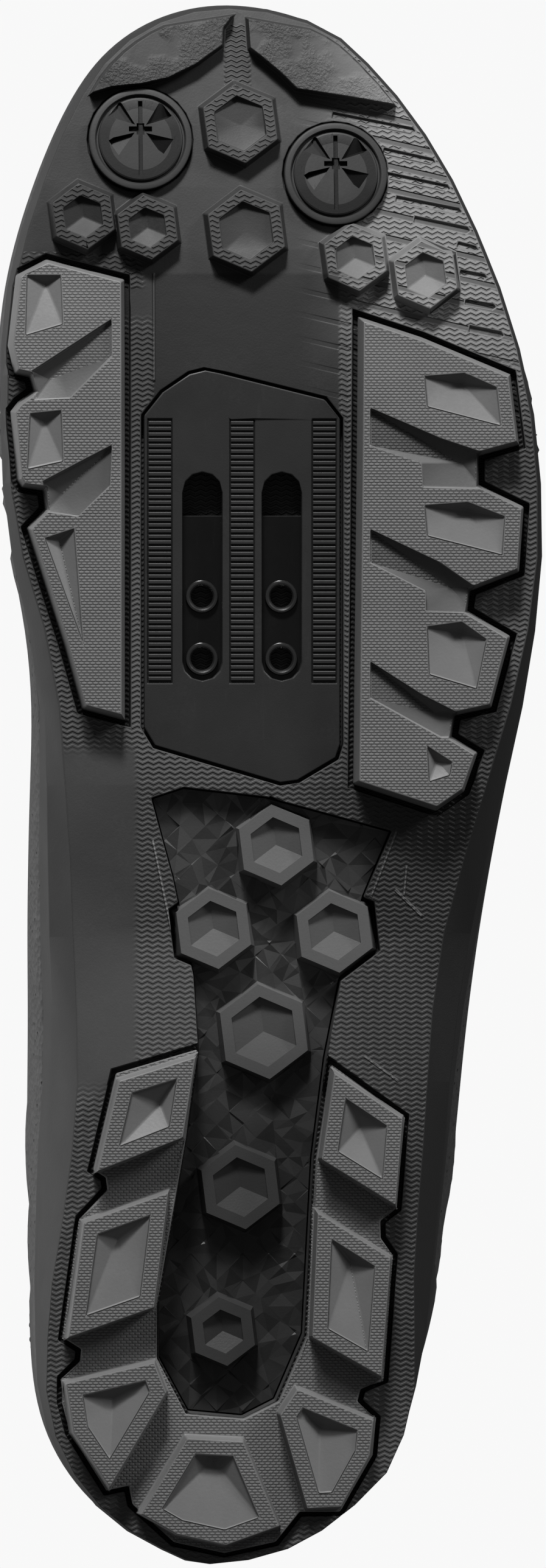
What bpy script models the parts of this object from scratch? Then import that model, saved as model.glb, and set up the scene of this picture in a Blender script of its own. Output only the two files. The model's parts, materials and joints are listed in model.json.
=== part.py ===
# Cycling shoe for the left foot, lying on its outer side as an empty shoe lies on a floor.
# The pieces are modelled as the shoe stands: +X to the toe, +Y to the outer side, +Z up,
# the back of the heel at x = 0 and the tread's plane at z = 0. One empty then turns them over.
import bpy
import bmesh
from math import acos, atan2, cos, pi, radians, sin
from mathutils import Matrix, Vector

mm = 0.001

# Overall sizes
shoe_length = 277 * mm
ball_width = 96.2 * mm
toe_spring = 15 * mm
spring_start = 0.72
spring_steps = 7
columns = 64

# Clearances
fit = 0.3 * mm
soft_fit = 0.45 * mm

# Sole heights, over the tread's plane
forefoot_lug = 4.5 * mm
heel_lug = 6 * mm
arch_rise = 8.5 * mm
ball_stack = 11 * mm
heel_stack = 26 * mm
rim_rise = 2.5 * mm
rim_width = 3.2 * mm
side_flare = 8.4 * mm
side_bulge = 2.6 * mm
insole_thickness = 3.5 * mm
insole_slope = 0.5 * mm

# Upper
wall = 2 * mm
instep_height = 97 * mm
strap_width = 21 * mm
strap_thickness = 1.6 * mm
strap_lift = 0.7 * mm
strap_slant = 7 * mm
strap_steps = 5
tongue_thickness = 4 * mm
tongue_reach = 30 * mm
throat_crown = 0.1

# Tread
pocket_depth = 1.4 * mm
groove = 0.9 * mm
lug_draft = 0.8 * mm
hollow_rim = 2.7 * mm
hollow_depth = 1.6 * mm
stud_rim = 1.9 * mm
web_height = 2.6 * mm
stud_height = 2.9 * mm
channel_stud_height = 4.2 * mm
front_groove_width = 1.1 * mm
front_groove_depth = 0.5 * mm
stud_turn = radians(7)
wing_height = 2.8 * mm
wing_inset = 1.2 * mm
wing_draft = 0.5 * mm
root_depth = 0.6 * mm
footbed_skin = 1.1 * mm
cutter_reach = 1 * mm

# Cleat plate, its slots and the threaded plate behind them
bolt_spacing = 14 * mm
bolt_rows = 11 * mm
plate_at = 0.632
plate_offset = -0.5 * mm
plate_width = 34.6 * mm
plate_length = 72.6 * mm
plate_thickness = 2 * mm
plate_recess = 0.5 * mm
plate_groove = 0.5 * mm
slot_width = 7 * mm
slot_length = 36.7 * mm
rule_width = 4.3 * mm
rule_length = 46.5 * mm
rule_depth = 0.4 * mm
rule_spacing = 14.5 * mm
rule_shift = 0.6 * mm
nut_width = 24 * mm
nut_length = 30 * mm
nut_thickness = 2.2 * mm
nut_shift = -4.2 * mm
thread_shift = -4.8 * mm
thread_radius = 2.2 * mm
pocket_margin = 1.6 * mm
medial_groove = 4.1 * mm
lateral_groove = 3.1 * mm

# Arch plate
window_margin = 0.8 * mm
arch_plate_thickness = 2 * mm

# Spike caps
cap_radius = 9.1 * mm
cap_face_radius = 7.4 * mm
cap_height = 2.6 * mm
cap_rise = 0.9 * mm
cap_sides = 24

# The shoe's outline from below: share of the length from the heel's back, and the reach of the
# inner and the outer side from the shoe's axis as shares of the ball's width
outline_rows = (
    (0.000, 0.060, -0.060),
    (0.010, 0.153, 0.086),
    (0.030, 0.247, 0.181),
    (0.068, 0.334, 0.285),
    (0.107, 0.372, 0.321),
    (0.146, 0.378, 0.358),
    (0.204, 0.383, 0.388),
    (0.262, 0.390, 0.410),
    (0.340, 0.389, 0.429),
    (0.418, 0.392, 0.455),
    (0.495, 0.389, 0.492),
    (0.554, 0.384, 0.524),
    (0.612, 0.402, 0.545),
    (0.658, 0.432, 0.553),
    (0.728, 0.446, 0.539),
    (0.786, 0.444, 0.504),
    (0.845, 0.413, 0.444),
    (0.884, 0.377, 0.394),
    (0.922, 0.332, 0.330),
    (0.961, 0.265, 0.240),
    (0.981, 0.202, 0.178),
    (1.000, 0.022, -0.022))

# How far the sole's lower edge lies inside the outline, as shares of side_flare
edge_rows = (
    (0.00, 0.12, 0.12),
    (0.10, 0.10, 0.12),
    (0.17, 0.26, 0.73),
    (0.24, 0.70, 0.93),
    (0.30, 0.95, 0.98),
    (0.37, 0.93, 1.00),
    (0.45, 0.83, 0.75),
    (0.53, 0.57, 0.45),
    (0.61, 0.29, 0.22),
    (0.68, 0.14, 0.14),
    (0.77, 0.12, 0.12),
    (1.00, 0.12, 0.12))

# How far the rim lies inside the outline, as shares of side_bulge
rim_rows = (
    (0.00, 0.00, 0.00),
    (0.10, 0.00, 0.10),
    (0.17, 0.05, 0.55),
    (0.26, 0.60, 0.90),
    (0.33, 1.00, 0.80),
    (0.42, 0.75, 0.35),
    (0.53, 0.50, 0.20),
    (0.60, 0.10, 0.05),
    (0.70, 0.00, 0.00),
    (1.00, 0.00, 0.00))

# Underside of the base, before the toe is sprung
base_rows = (
    (0.000, heel_lug),
    (0.338, heel_lug),
    (0.375, arch_rise),
    (0.415, arch_rise),
    (0.483, forefoot_lug),
    (1.000, forefoot_lug))

# Footbed, as shares of the step between the ball's and the heel's stack
footbed_rows = (
    (0.00, 1.00),
    (0.14, 0.98),
    (0.28, 0.88),
    (0.40, 0.56),
    (0.50, 0.24),
    (0.60, 0.02),
    (0.66, 0.00),
    (1.00, 0.00))

# Face of the arch plate, as shares of arch_rise
plate_face_rows = (
    (0.060, 1.60),
    (0.200, 1.60),
    (0.330, 1.47),
    (0.400, 1.29),
    (0.520, 0.66))

# The upper's walls: share of the length at the wall's foot, height of the widest line over the rim,
# and its open edge: share of the length, reach of the inner and the outer side as shares of the
# ball's width, and height as a share of the instep's. Then how upright the wall starts,
# how far its shoulder reaches out, and how far the shoulder drops.
upper_rows = (
    (0.00, 15 * mm, 0.030, 0.040, -0.040, 0.965, 0.34, 0.30, 0.36),
    (0.03, 15 * mm, 0.043, 0.165, 0.120, 0.955, 0.34, 0.30, 0.36),
    (0.09, 15 * mm, 0.085, 0.275, 0.245, 0.890, 0.36, 0.28, 0.36),
    (0.16, 14 * mm, 0.150, 0.310, 0.300, 0.800, 0.38, 0.26, 0.36),
    (0.25, 14 * mm, 0.240, 0.310, 0.315, 0.735, 0.42, 0.25, 0.35),
    (0.34, 13 * mm, 0.325, 0.280, 0.305, 0.765, 0.42, 0.28, 0.30),
    (0.42, 12 * mm, 0.400, 0.210, 0.245, 0.890, 0.42, 0.32, 0.20),
    (0.47, 11 * mm, 0.445, 0.156, 0.187, 0.985, 0.42, 0.34, 0.15),
    (0.52, 10 * mm, 0.485, 0.140, 0.166, 0.955, 0.44, 0.38, 0.14),
    (0.58, 9 * mm, 0.540, 0.130, 0.156, 0.868, 0.46, 0.44, 0.15),
    (0.65, 8 * mm, 0.600, 0.120, 0.146, 0.782, 0.50, 0.48, 0.16),
    (0.73, 7 * mm, 0.655, 0.109, 0.135, 0.710, 0.54, 0.50, 0.18),
    (0.82, 6 * mm, 0.695, 0.099, 0.125, 0.669, 0.56, 0.50, 0.22),
    (0.90, 5 * mm, 0.715, 0.073, 0.099, 0.648, 0.58, 0.48, 0.26),
    (0.96, 5 * mm, 0.725, 0.036, 0.062, 0.638, 0.58, 0.46, 0.28),
    (1.00, 5 * mm, 0.728, -0.012, 0.012, 0.636, 0.58, 0.46, 0.28))
wall_rows_up = 8
foot_share = 0.12

# Straps: name, place along the throat as a share of the length, and how far each end
# comes down the wall, where 1 is the throat's edge
strap_rows = (
    ("strap_front", 0.645, 0.42, 0.50),
    ("strap_middle", 0.560, 0.42, 0.50),
    ("strap_top", 0.475, 0.42, 0.50))

# Forefoot pads: share of the length, and share of the way from the pad's inner edge to the side
medial_pad = (
    (0.831, 0.615), (0.819, 0.000), (0.544, 0.000), (0.550, 0.297), (0.589, 0.441), (0.662, 0.749),
    (0.674, 0.600), (0.689, 0.620), (0.691, 0.810), (0.694, 0.836), (0.736, 0.887), (0.741, 0.836),
    (0.749, 0.692), (0.761, 0.738), (0.763, 0.862), (0.779, 0.908), (0.822, 0.841))
lateral_pad = (
    (0.794, 0.026), (0.782, 0.332), (0.759, 0.790), (0.718, 0.832), (0.711, 0.619), (0.689, 0.619),
    (0.675, 0.858), (0.637, 0.835), (0.625, 0.577), (0.609, 0.558), (0.593, 0.784), (0.551, 0.690),
    (0.546, 0.497), (0.529, 0.474), (0.519, 0.610), (0.497, 0.545), (0.486, 0.413), (0.502, 0.000))

# Faceted hollows of the pads, in the pads' own shares: outline, deepest point, and the depth at the
# edge and at the deepest point as shares of hollow_depth
medial_hollows = (
    (((0.823, 0.785), (0.823, 0.508), (0.792, 0.492), (0.785, 0.800)), (0.818, 0.631), 0.1, 1.0),
    (((0.795, 0.082), (0.771, 0.082), (0.745, 0.441), (0.744, 0.723), (0.762, 0.749)), (0.757, 0.600), 0.5, 1.3),
    (((0.735, 0.764), (0.737, 0.508), (0.705, 0.492), (0.700, 0.785)), (0.731, 0.646), 0.1, 1.0),
    (((0.715, 0.082), (0.689, 0.097), (0.670, 0.364), (0.673, 0.640), (0.692, 0.660)), (0.684, 0.500), 0.5, 1.3),
    (((0.656, 0.640), (0.662, 0.400), (0.592, 0.330)), (0.655, 0.520), 0.1, 1.0))
lateral_hollows = (
    (((0.759, 0.348), (0.761, 0.560), (0.752, 0.726), (0.728, 0.748), (0.740, 0.361)), (0.755, 0.542), 0.1, 1.2),
    (((0.739, 0.058), (0.715, 0.058), (0.704, 0.329), (0.689, 0.339), (0.688, 0.650), (0.711, 0.650),
      (0.720, 0.426)), (0.704, 0.540), 0.6, 1.4),
    (((0.677, 0.348), (0.679, 0.574), (0.670, 0.768), (0.646, 0.755), (0.658, 0.361)), (0.674, 0.574), 0.1, 1.2),
    (((0.662, 0.058), (0.641, 0.058), (0.623, 0.352), (0.610, 0.352), (0.609, 0.600), (0.625, 0.620),
      (0.641, 0.426)), (0.625, 0.490), 0.6, 1.4),
    (((0.600, 0.361), (0.603, 0.542), (0.592, 0.671), (0.561, 0.619), (0.570, 0.371)), (0.597, 0.542), 0.1, 1.2),
    (((0.578, 0.058), (0.555, 0.058), (0.530, 0.435), (0.530, 0.510), (0.545, 0.530), (0.557, 0.332)),
     (0.546, 0.400), 0.6, 1.4),
    (((0.524, 0.361), (0.514, 0.490), (0.506, 0.477), (0.502, 0.371)), (0.515, 0.413), 0.1, 0.9))

# Heel tread: the web's outline, the seven lugs and each lug's deepest point, as shares of the length
# and, from the axis, of the ball's width
heel_web = (
    (0.331, -0.088), (0.316, -0.236), (0.255, -0.278), (0.250, -0.255), (0.242, -0.252), (0.233, -0.276),
    (0.224, -0.301), (0.148, -0.332), (0.141, -0.300), (0.133, -0.302), (0.122, -0.335), (0.107, -0.335),
    (0.088, -0.321), (0.051, -0.254), (0.054, -0.213), (0.042, -0.206), (0.018, -0.130), (0.011, -0.038),
    (0.018, 0.056), (0.037, 0.100), (0.037, 0.174), (0.073, 0.234), (0.096, 0.240), (0.107, 0.206),
    (0.115, 0.212), (0.121, 0.254), (0.200, 0.271), (0.211, 0.249), (0.222, 0.248), (0.230, 0.278),
    (0.288, 0.292), (0.321, 0.160), (0.262, 0.131), (0.149, 0.114), (0.107, 0.062), (0.096, -0.002),
    (0.099, -0.108), (0.135, -0.162), (0.168, -0.162), (0.276, -0.108))
heel_lugs = (
    (((0.312, -0.232), (0.327, -0.093), (0.276, -0.116), (0.255, -0.271)), (0.297, -0.156)),
    (((0.222, -0.297), (0.241, -0.143), (0.168, -0.169), (0.149, -0.326)), (0.211, -0.236)),
    (((0.120, -0.330), (0.133, -0.168), (0.114, -0.146), (0.054, -0.249), (0.089, -0.316)), (0.110, -0.244)),
    (((0.085, -0.108), (0.083, -0.006), (0.029, 0.060), (0.017, -0.038), (0.024, -0.127), (0.037, -0.192)),
     (0.071, -0.059)),
    (((0.116, 0.093), (0.096, 0.233), (0.074, 0.226), (0.041, 0.173), (0.040, 0.112), (0.100, 0.062)),
     (0.092, 0.136)),
    (((0.228, 0.131), (0.199, 0.264), (0.124, 0.247), (0.149, 0.121)), (0.197, 0.192)),
    (((0.317, 0.161), (0.288, 0.286), (0.233, 0.273), (0.262, 0.138)), (0.282, 0.209)))

# Window in the base, from its front edge back: share of the way from the heel's rear arc to the front
# edge, and reach from the axis as a share of the ball's width
window_rear = 0.094
window = (
    (0.983, -0.172), (1.000, -0.112), (0.985, 0.039), (0.931, 0.270), (0.829, 0.221), (0.693, 0.177),
    (0.572, 0.150), (0.416, 0.127), (0.136, 0.110), (0.032, 0.058), (0.006, -0.002), (0.014, -0.102),
    (0.101, -0.157), (0.183, -0.157), (0.450, -0.105), (0.579, -0.084), (0.703, -0.093), (0.856, -0.131))

# Hex studs under the toes: share of the length, reach from the axis as a share of the ball's width,
# and width across the flats
toe_studs = (
    (0.921, -0.006, 12.4 * mm),
    (0.852, 0.003, 12.8 * mm),
    (0.861, -0.296, 10.4 * mm),
    (0.854, -0.178, 10.1 * mm),
    (0.835, 0.202, 10.4 * mm),
    (0.824, 0.331, 10.6 * mm))
# Hex studs on the arch plate: place along and across as in the window's table, width across the
# flats, and height
arch_studs = (
    (0.909, 0.058, 12.4 * mm, stud_height),
    (0.777, -0.056, 12.4 * mm, stud_height),
    (0.772, 0.166, 12.6 * mm, stud_height),
    (0.614, 0.037, 14.6 * mm, stud_height),
    (0.369, -0.006, 13.0 * mm, channel_stud_height),
    (0.141, -0.038, 10.6 * mm, channel_stud_height))

# Inner edges of the two toe wings, as shares of the length and of the ball's width
medial_wing = (
    (0.991, -0.018), (0.983, -0.035), (0.972, -0.037), (0.960, -0.084), (0.951, -0.135), (0.947, -0.184),
    (0.945, -0.238))
lateral_wing = (
    (0.989, 0.012), (0.970, 0.015), (0.965, 0.034), (0.953, 0.074), (0.944, 0.099), (0.939, 0.192))

# Grooves across the outer front: each end's share of the length and of the ball's width
front_grooves = (
    (0.927, 0.165, 0.917, 0.312),
    (0.904, 0.258, 0.897, 0.348),
    (0.888, 0.266, 0.880, 0.374),
    (0.873, 0.280, 0.865, 0.395),
    (0.860, 0.313, 0.853, 0.410),
    (0.844, 0.392, 0.841, 0.424),
    (0.826, 0.396, 0.823, 0.440),
    (0.807, 0.405, 0.804, 0.456),
    (0.790, 0.412, 0.786, 0.470))

# Cleat plate's outline, as shares of its own length and width
cleat_outline = (
    (0.500, -0.189), (0.493, -0.112), (0.430, 0.422), (0.383, 0.500), (-0.405, 0.500), (-0.439, 0.478),
    (-0.494, 0.283), (-0.500, 0.196), (-0.410, -0.444), (-0.365, -0.500), (0.390, -0.500),
    (0.447, -0.404), (0.491, -0.267))

# Spike caps: name, share of the length, reach from the axis as a share of the ball's width
cap_rows = (
    ("spike_cap_medial", 0.911, -0.189),
    ("spike_cap_lateral", 0.889, 0.169))

# Colour as a grey level from 0 to 1, and roughness
finish = {
    "upper": (0.30, 0.62),
    "tongue": (0.16, 0.85),
    "insole": (0.12, 0.90),
    "strap": (0.20, 0.60),
    "outsole": (0.27, 0.48),
    "arch_plate": (0.17, 0.40),
    "tread": (0.42, 0.55),
    "cleat_plate": (0.20, 0.45),
    "nut": (0.05, 0.22),
    "cap": (0.32, 0.42)}


class Curve:
    # A smooth line through (place, value) pairs that never overshoots them
    def __init__(self, pairs):
        self.places = [pair[0] for pair in pairs]
        self.values = [pair[1] for pair in pairs]
        last = len(pairs) - 1
        steps = [self.places[i + 1] - self.places[i] for i in range(last)]
        rises = [(self.values[i + 1] - self.values[i]) / steps[i] for i in range(last)]
        self.slopes = [rises[0]]
        for i in range(1, last):
            before, after = rises[i - 1], rises[i]
            if before * after <= 0:
                self.slopes.append(0.0)
            else:
                first = 2 * steps[i] + steps[i - 1]
                second = steps[i] + 2 * steps[i - 1]
                self.slopes.append((first + second) / (first / before + second / after))
        self.slopes.append(rises[-1])

    def __call__(self, place):
        place = min(max(place, self.places[0]), self.places[-1])
        i = 0
        while i < len(self.places) - 2 and place > self.places[i + 1]:
            i += 1
        step = self.places[i + 1] - self.places[i]
        t = (place - self.places[i]) / step
        start = self.values[i] * (1 + 2 * t) + self.slopes[i] * step * t
        end = self.values[i + 1] * (3 - 2 * t) - self.slopes[i + 1] * step * (1 - t)
        return start * (1 - t) ** 2 + end * t ** 2


def station(share):
    # Place around the outline of a share of the length: 0 at the heel's back, 0.5 at the toe
    return acos(1 - 2 * share) / (2 * pi)


def around(rows, signed=False):
    # A closed smooth line around the shoe from rows of (share, inner value, outer value)
    inner_sign = -1 if signed else 1
    pairs = [(station(row[0]), inner_sign * row[1]) for row in rows]
    pairs += [(1 - station(row[0]), row[2]) for row in rows[-2:0:-1]]
    before = [(place - 1, value) for place, value in pairs[-3:]]
    after = [(place + 1, value) for place, value in pairs[:3]]
    return Curve(before + pairs + after)


across = around(outline_rows, signed=True)
edge_inset = around(edge_rows)
rim_inset = around(rim_rows)
base_curve = Curve(base_rows)
footbed_curve = Curve(footbed_rows)
plate_curve = Curve(plate_face_rows)
widest_rise = around([(row[0], row[1], row[1]) for row in upper_rows])
mouth_along = around([(row[0], row[2], row[2]) for row in upper_rows])
mouth_across = around([(row[0], row[3], row[4]) for row in upper_rows], signed=True)
mouth_height = around([(row[0], row[5], row[5]) for row in upper_rows])
wall_upright = around([(row[0], row[6], row[6]) for row in upper_rows])
wall_shoulder = around([(row[0], row[7], row[7]) for row in upper_rows])
wall_drop = around([(row[0], row[8], row[8]) for row in upper_rows])


def outline(place):
    return Vector((shoe_length * (1 - cos(2 * pi * place)) / 2, ball_width * across(place % 1), 0))


def outward(place):
    step = 0.002
    along = outline(place + step) - outline(place - step)
    return Vector((along.y, -along.x, 0)).normalized()


def spring(x):
    # Rise of the toe, in straight steps so that every piece of the sole bends on the same lines
    width = (1 - spring_start) / spring_steps
    steps = max(x / shoe_length - spring_start, 0) / width
    index = min(int(steps), spring_steps - 1)
    low = toe_spring * (index / spring_steps) ** 1.8
    high = toe_spring * ((index + 1) / spring_steps) ** 1.8
    return low + (high - low) * (steps - index)


def base_height(x):
    return base_curve(x / shoe_length)


def footbed_height(x):
    return ball_stack + (heel_stack - ball_stack) * footbed_curve(x / shoe_length)


def rim_height(x):
    return footbed_height(x) + rim_rise


def plate_face(x):
    return arch_rise * plate_curve(x / shoe_length)


def ring(inset, height, count=columns):
    # Points around the shoe, a given way inside its outline, at the height that their x gives
    points = []
    for k in range(count):
        place = k / count
        point = outline(place) - outward(place) * inset(place)
        point.z = height(point.x)
        points.append(point)
    return points


def plan(rows):
    # Shares of the length and of the ball's width, as points in plan
    return [Vector((shoe_length * row[0], ball_width * row[1])) for row in rows]


def pad_plan(rows, side):
    # Pad points between the groove beside the cleat plate and the side of the ball
    gap = medial_groove if side < 0 else lateral_groove
    inner = plate_offset + side * (plate_width / 2 + gap)
    reach = side * ball_width * (outline_rows[14][1] if side < 0 else outline_rows[13][2])
    return [Vector((shoe_length * row[0], inner + row[1] * (reach - inner))) for row in rows]


def grown(points, distance):
    # The outline moved outwards by a distance, with mitred corners
    count = len(points)
    area = sum(points[i - 1].cross(points[i]) for i in range(count))
    sign = 1 if area > 0 else -1
    result = []
    for i in range(count):
        before = (points[i] - points[i - 1]).normalized()
        after = (points[(i + 1) % count] - points[i]).normalized()
        first = Vector((before.y, -before.x)) * sign
        second = Vector((after.y, -after.x)) * sign
        reach = max(1 + first.dot(second), 0.4)
        result.append(points[i] + (first + second) * distance / reach)
    return result


def hexagon(centre, width):
    radius = width / 2 / cos(pi / 6)
    turns = [stud_turn + k * pi / 3 for k in range(6)]
    return [centre + Vector((radius * cos(turn), -radius * sin(turn))) for turn in turns]


def new_piece(name, mesh):
    # Everything is made among the cutters, and the finished pieces then move to the shoe
    piece = bpy.data.objects.new(name, mesh)
    cutters.objects.link(piece)
    return piece


def finish_mesh(bm, name):
    bmesh.ops.recalc_face_normals(bm, faces=bm.faces[:])
    mesh = bpy.data.meshes.new(name)
    bm.to_mesh(mesh)
    bm.free()
    return mesh


def bridge_rings(bm, lower, upper):
    count = len(lower)
    for k in range(count):
        bm.faces.new((lower[k], lower[(k + 1) % count], upper[(k + 1) % count], upper[k]))


def span_ring(bm, loop):
    # Closes a ring around the shoe with strips from its inner to its outer side
    count = len(loop)
    half = count // 2
    bm.faces.new((loop[0], loop[1], loop[-1]))
    for k in range(1, half - 1):
        bm.faces.new((loop[k], loop[k + 1], loop[count - k - 1], loop[count - k]))
    bm.faces.new((loop[half - 1], loop[half], loop[half + 1]))


def ring_solid(name, rings):
    bm = bmesh.new()
    loops = [[bm.verts.new(point) for point in points] for points in rings]
    for lower, upper in zip(loops, loops[1:]):
        bridge_rings(bm, lower, upper)
    span_ring(bm, loops[0])
    span_ring(bm, loops[-1])
    return new_piece(name, finish_mesh(bm, name))


def flat_solid(name, points, low, high):
    # A flat outline given its thickness
    curve = bpy.data.curves.new(name, "CURVE")
    curve.dimensions = "2D"
    curve.fill_mode = "BOTH"
    curve.extrude = (high - low) / 2
    line = curve.splines.new("POLY")
    line.points.add(len(points) - 1)
    for control, point in zip(line.points, points):
        control.co = (point.x, point.y, 0, 1)
    line.use_cyclic_u = True
    holder = new_piece(name + "_outline", curve)
    holder.location.z = (low + high) / 2
    graph = bpy.context.evaluated_depsgraph_get()
    mesh = bpy.data.meshes.new_from_object(holder.evaluated_get(graph))
    bm = bmesh.new()
    bm.from_mesh(mesh)
    bmesh.ops.remove_doubles(bm, verts=bm.verts[:], dist=0.001 * mm)
    bmesh.ops.translate(bm, verts=bm.verts[:], vec=holder.location)
    bpy.data.objects.remove(holder)
    bpy.data.curves.remove(curve)
    bpy.data.meshes.remove(mesh)
    return new_piece(name, finish_mesh(bm, name))


def drafted_solid(name, points, root, tip, draft):
    # A lug with leaning sides, wide at its root and as wide as its outline at its tip
    bm = bmesh.new()
    wide = grown(points, draft)
    loops = [[bm.verts.new((point.x, point.y, root)) for point in wide],
             [bm.verts.new((point.x, point.y, tip)) for point in points]]
    bridge_rings(bm, loops[0], loops[1])
    bm.faces.new(loops[0])
    bm.faces.new(loops[1])
    return new_piece(name, finish_mesh(bm, name))


def hollow_cutter(name, points, depths, centre, depth, face=0.0):
    # Cuts a hollow whose flat facets run from its edge to one deepest point
    bm = bmesh.new()
    outside = [bm.verts.new((point.x, point.y, face - cutter_reach)) for point in points]
    floor = [bm.verts.new((point.x, point.y, face + edge)) for point, edge in zip(points, depths)]
    deepest = bm.verts.new((centre.x, centre.y, face + depth))
    bridge_rings(bm, outside, floor)
    bm.faces.new(outside)
    for k in range(len(floor)):
        bm.faces.new((floor[k], floor[(k + 1) % len(floor)], deepest))
    return new_piece(name, finish_mesh(bm, name))


def profile_solid(name, low, high, shares, reach):
    # A slab across the shoe between two heights that follow the length
    bm = bmesh.new()
    sections = []
    for share in shares:
        x = shoe_length * share
        corners = ((-reach, low(x)), (reach, low(x)), (reach, high(x)), (-reach, high(x)))
        sections.append([bm.verts.new((x, y, z)) for y, z in corners])
    for before, after in zip(sections, sections[1:]):
        bridge_rings(bm, before, after)
    bm.faces.new(sections[0])
    bm.faces.new(sections[-1])
    return new_piece(name, finish_mesh(bm, name))


def carve(piece, tools, operation="DIFFERENCE"):
    # Cuts, joins or intersects a piece with tools, which are then gone
    for tool in tools:
        modifier = piece.modifiers.new(operation.lower(), "BOOLEAN")
        modifier.operation = operation
        modifier.solver = "EXACT"
        modifier.object = tool
    graph = bpy.context.evaluated_depsgraph_get()
    mesh = bpy.data.meshes.new_from_object(piece.evaluated_get(graph))
    piece.modifiers.clear()
    piece.data = mesh
    for tool in tools:
        bpy.data.objects.remove(tool)


def spring_toe(piece):
    # Bends a flat piece of the sole up at the toe, on the lines where spring() turns
    bm = bmesh.new()
    bm.from_mesh(piece.data)
    bmesh.ops.dissolve_limit(bm, angle_limit=radians(0.05), verts=bm.verts[:], edges=bm.edges[:])
    for step in range(spring_steps):
        x = shoe_length * (spring_start + (1 - spring_start) * step / spring_steps)
        everything = bm.verts[:] + bm.edges[:] + bm.faces[:]
        bmesh.ops.bisect_plane(bm, geom=everything, dist=0.001 * mm, plane_co=(x, 0, 0), plane_no=(1, 0, 0))
    bmesh.ops.triangulate(bm, faces=[face for face in bm.faces if len(face.verts) > 4])
    for vert in bm.verts:
        vert.co.z += spring(vert.co.x)
    bm.to_mesh(piece.data)
    bm.free()


def edge_distance(place):
    return side_flare * edge_inset(place)


def rim_distance(place):
    return side_bulge * rim_inset(place)


def side_distance(place):
    return rim_distance(place) + 0.25 * (edge_distance(place) - rim_distance(place))


def rim_inner_distance(place):
    return rim_distance(place) + rim_width


def side_height(x):
    return base_height(x) + 0.42 * (rim_height(x) - base_height(x))


def cleat_plan(growth=0.0):
    centre = Vector((shoe_length * plate_at, plate_offset))
    points = [centre + Vector((row[0] * plate_length, row[1] * plate_width)) for row in cleat_outline]
    return grown(points, growth) if growth else points


def window_plan(rows):
    # The front edge stays behind the cleat plate
    rear = shoe_length * window_rear
    front = shoe_length * plate_at - plate_length / 2 - window_margin
    return [Vector((rear + row[0] * (front - rear), ball_width * row[1])) for row in rows]


def stadium(centre, length, width, steps=6):
    # Outline of a slot with round ends, lengthwise
    half = (length - width) / 2
    points = []
    for end in (1, -1):
        for k in range(steps + 1):
            turn = pi * k / steps - pi / 2
            bend = Vector((cos(turn), sin(turn))) * width / 2 * end
            points.append(centre + Vector((end * half, 0)) + bend)
    return points


def rectangle(centre, length, width):
    half = Vector((length / 2, width / 2))
    signs = ((-1, -1), (1, -1), (1, 1), (-1, 1))
    return [centre + Vector((half.x * along, half.y * over)) for along, over in signs]


def slot_centres():
    centre = Vector((shoe_length * plate_at, plate_offset))
    return [centre + Vector((0, side * bolt_spacing / 2)) for side in (-1, 1)]


def stud_solids(name, centre, width, root, tip):
    # A hex stud and the cutter of its hollow, whose floor has three flat facets
    points = hexagon(centre, width)
    body = drafted_solid(name, points, root, tip, lug_draft)
    inner = grown(points, -stud_rim)
    deep = hollow_depth
    mid = 0.62 * hollow_depth
    edges = [mid if k % 2 == 0 else 2 * mid - deep for k in range(6)]
    cutter = hollow_cutter(name + "_hollow", inner, edges, centre, deep, tip)
    return body, cutter


def wing_plan(rows, side):
    # Inner edge from the table, outer edge along the sole's lower edge
    points = plan(rows)
    steps = 6
    first = station(rows[0][0])
    last = station(rows[-1][0])
    for k in range(steps + 1):
        place = last + (first - last) * k / steps
        place = place if side < 0 else 1 - place
        point = outline(place) - outward(place) * (edge_distance(place) + wing_inset)
        points.append(Vector((point.x, point.y)))
    return points


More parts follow.
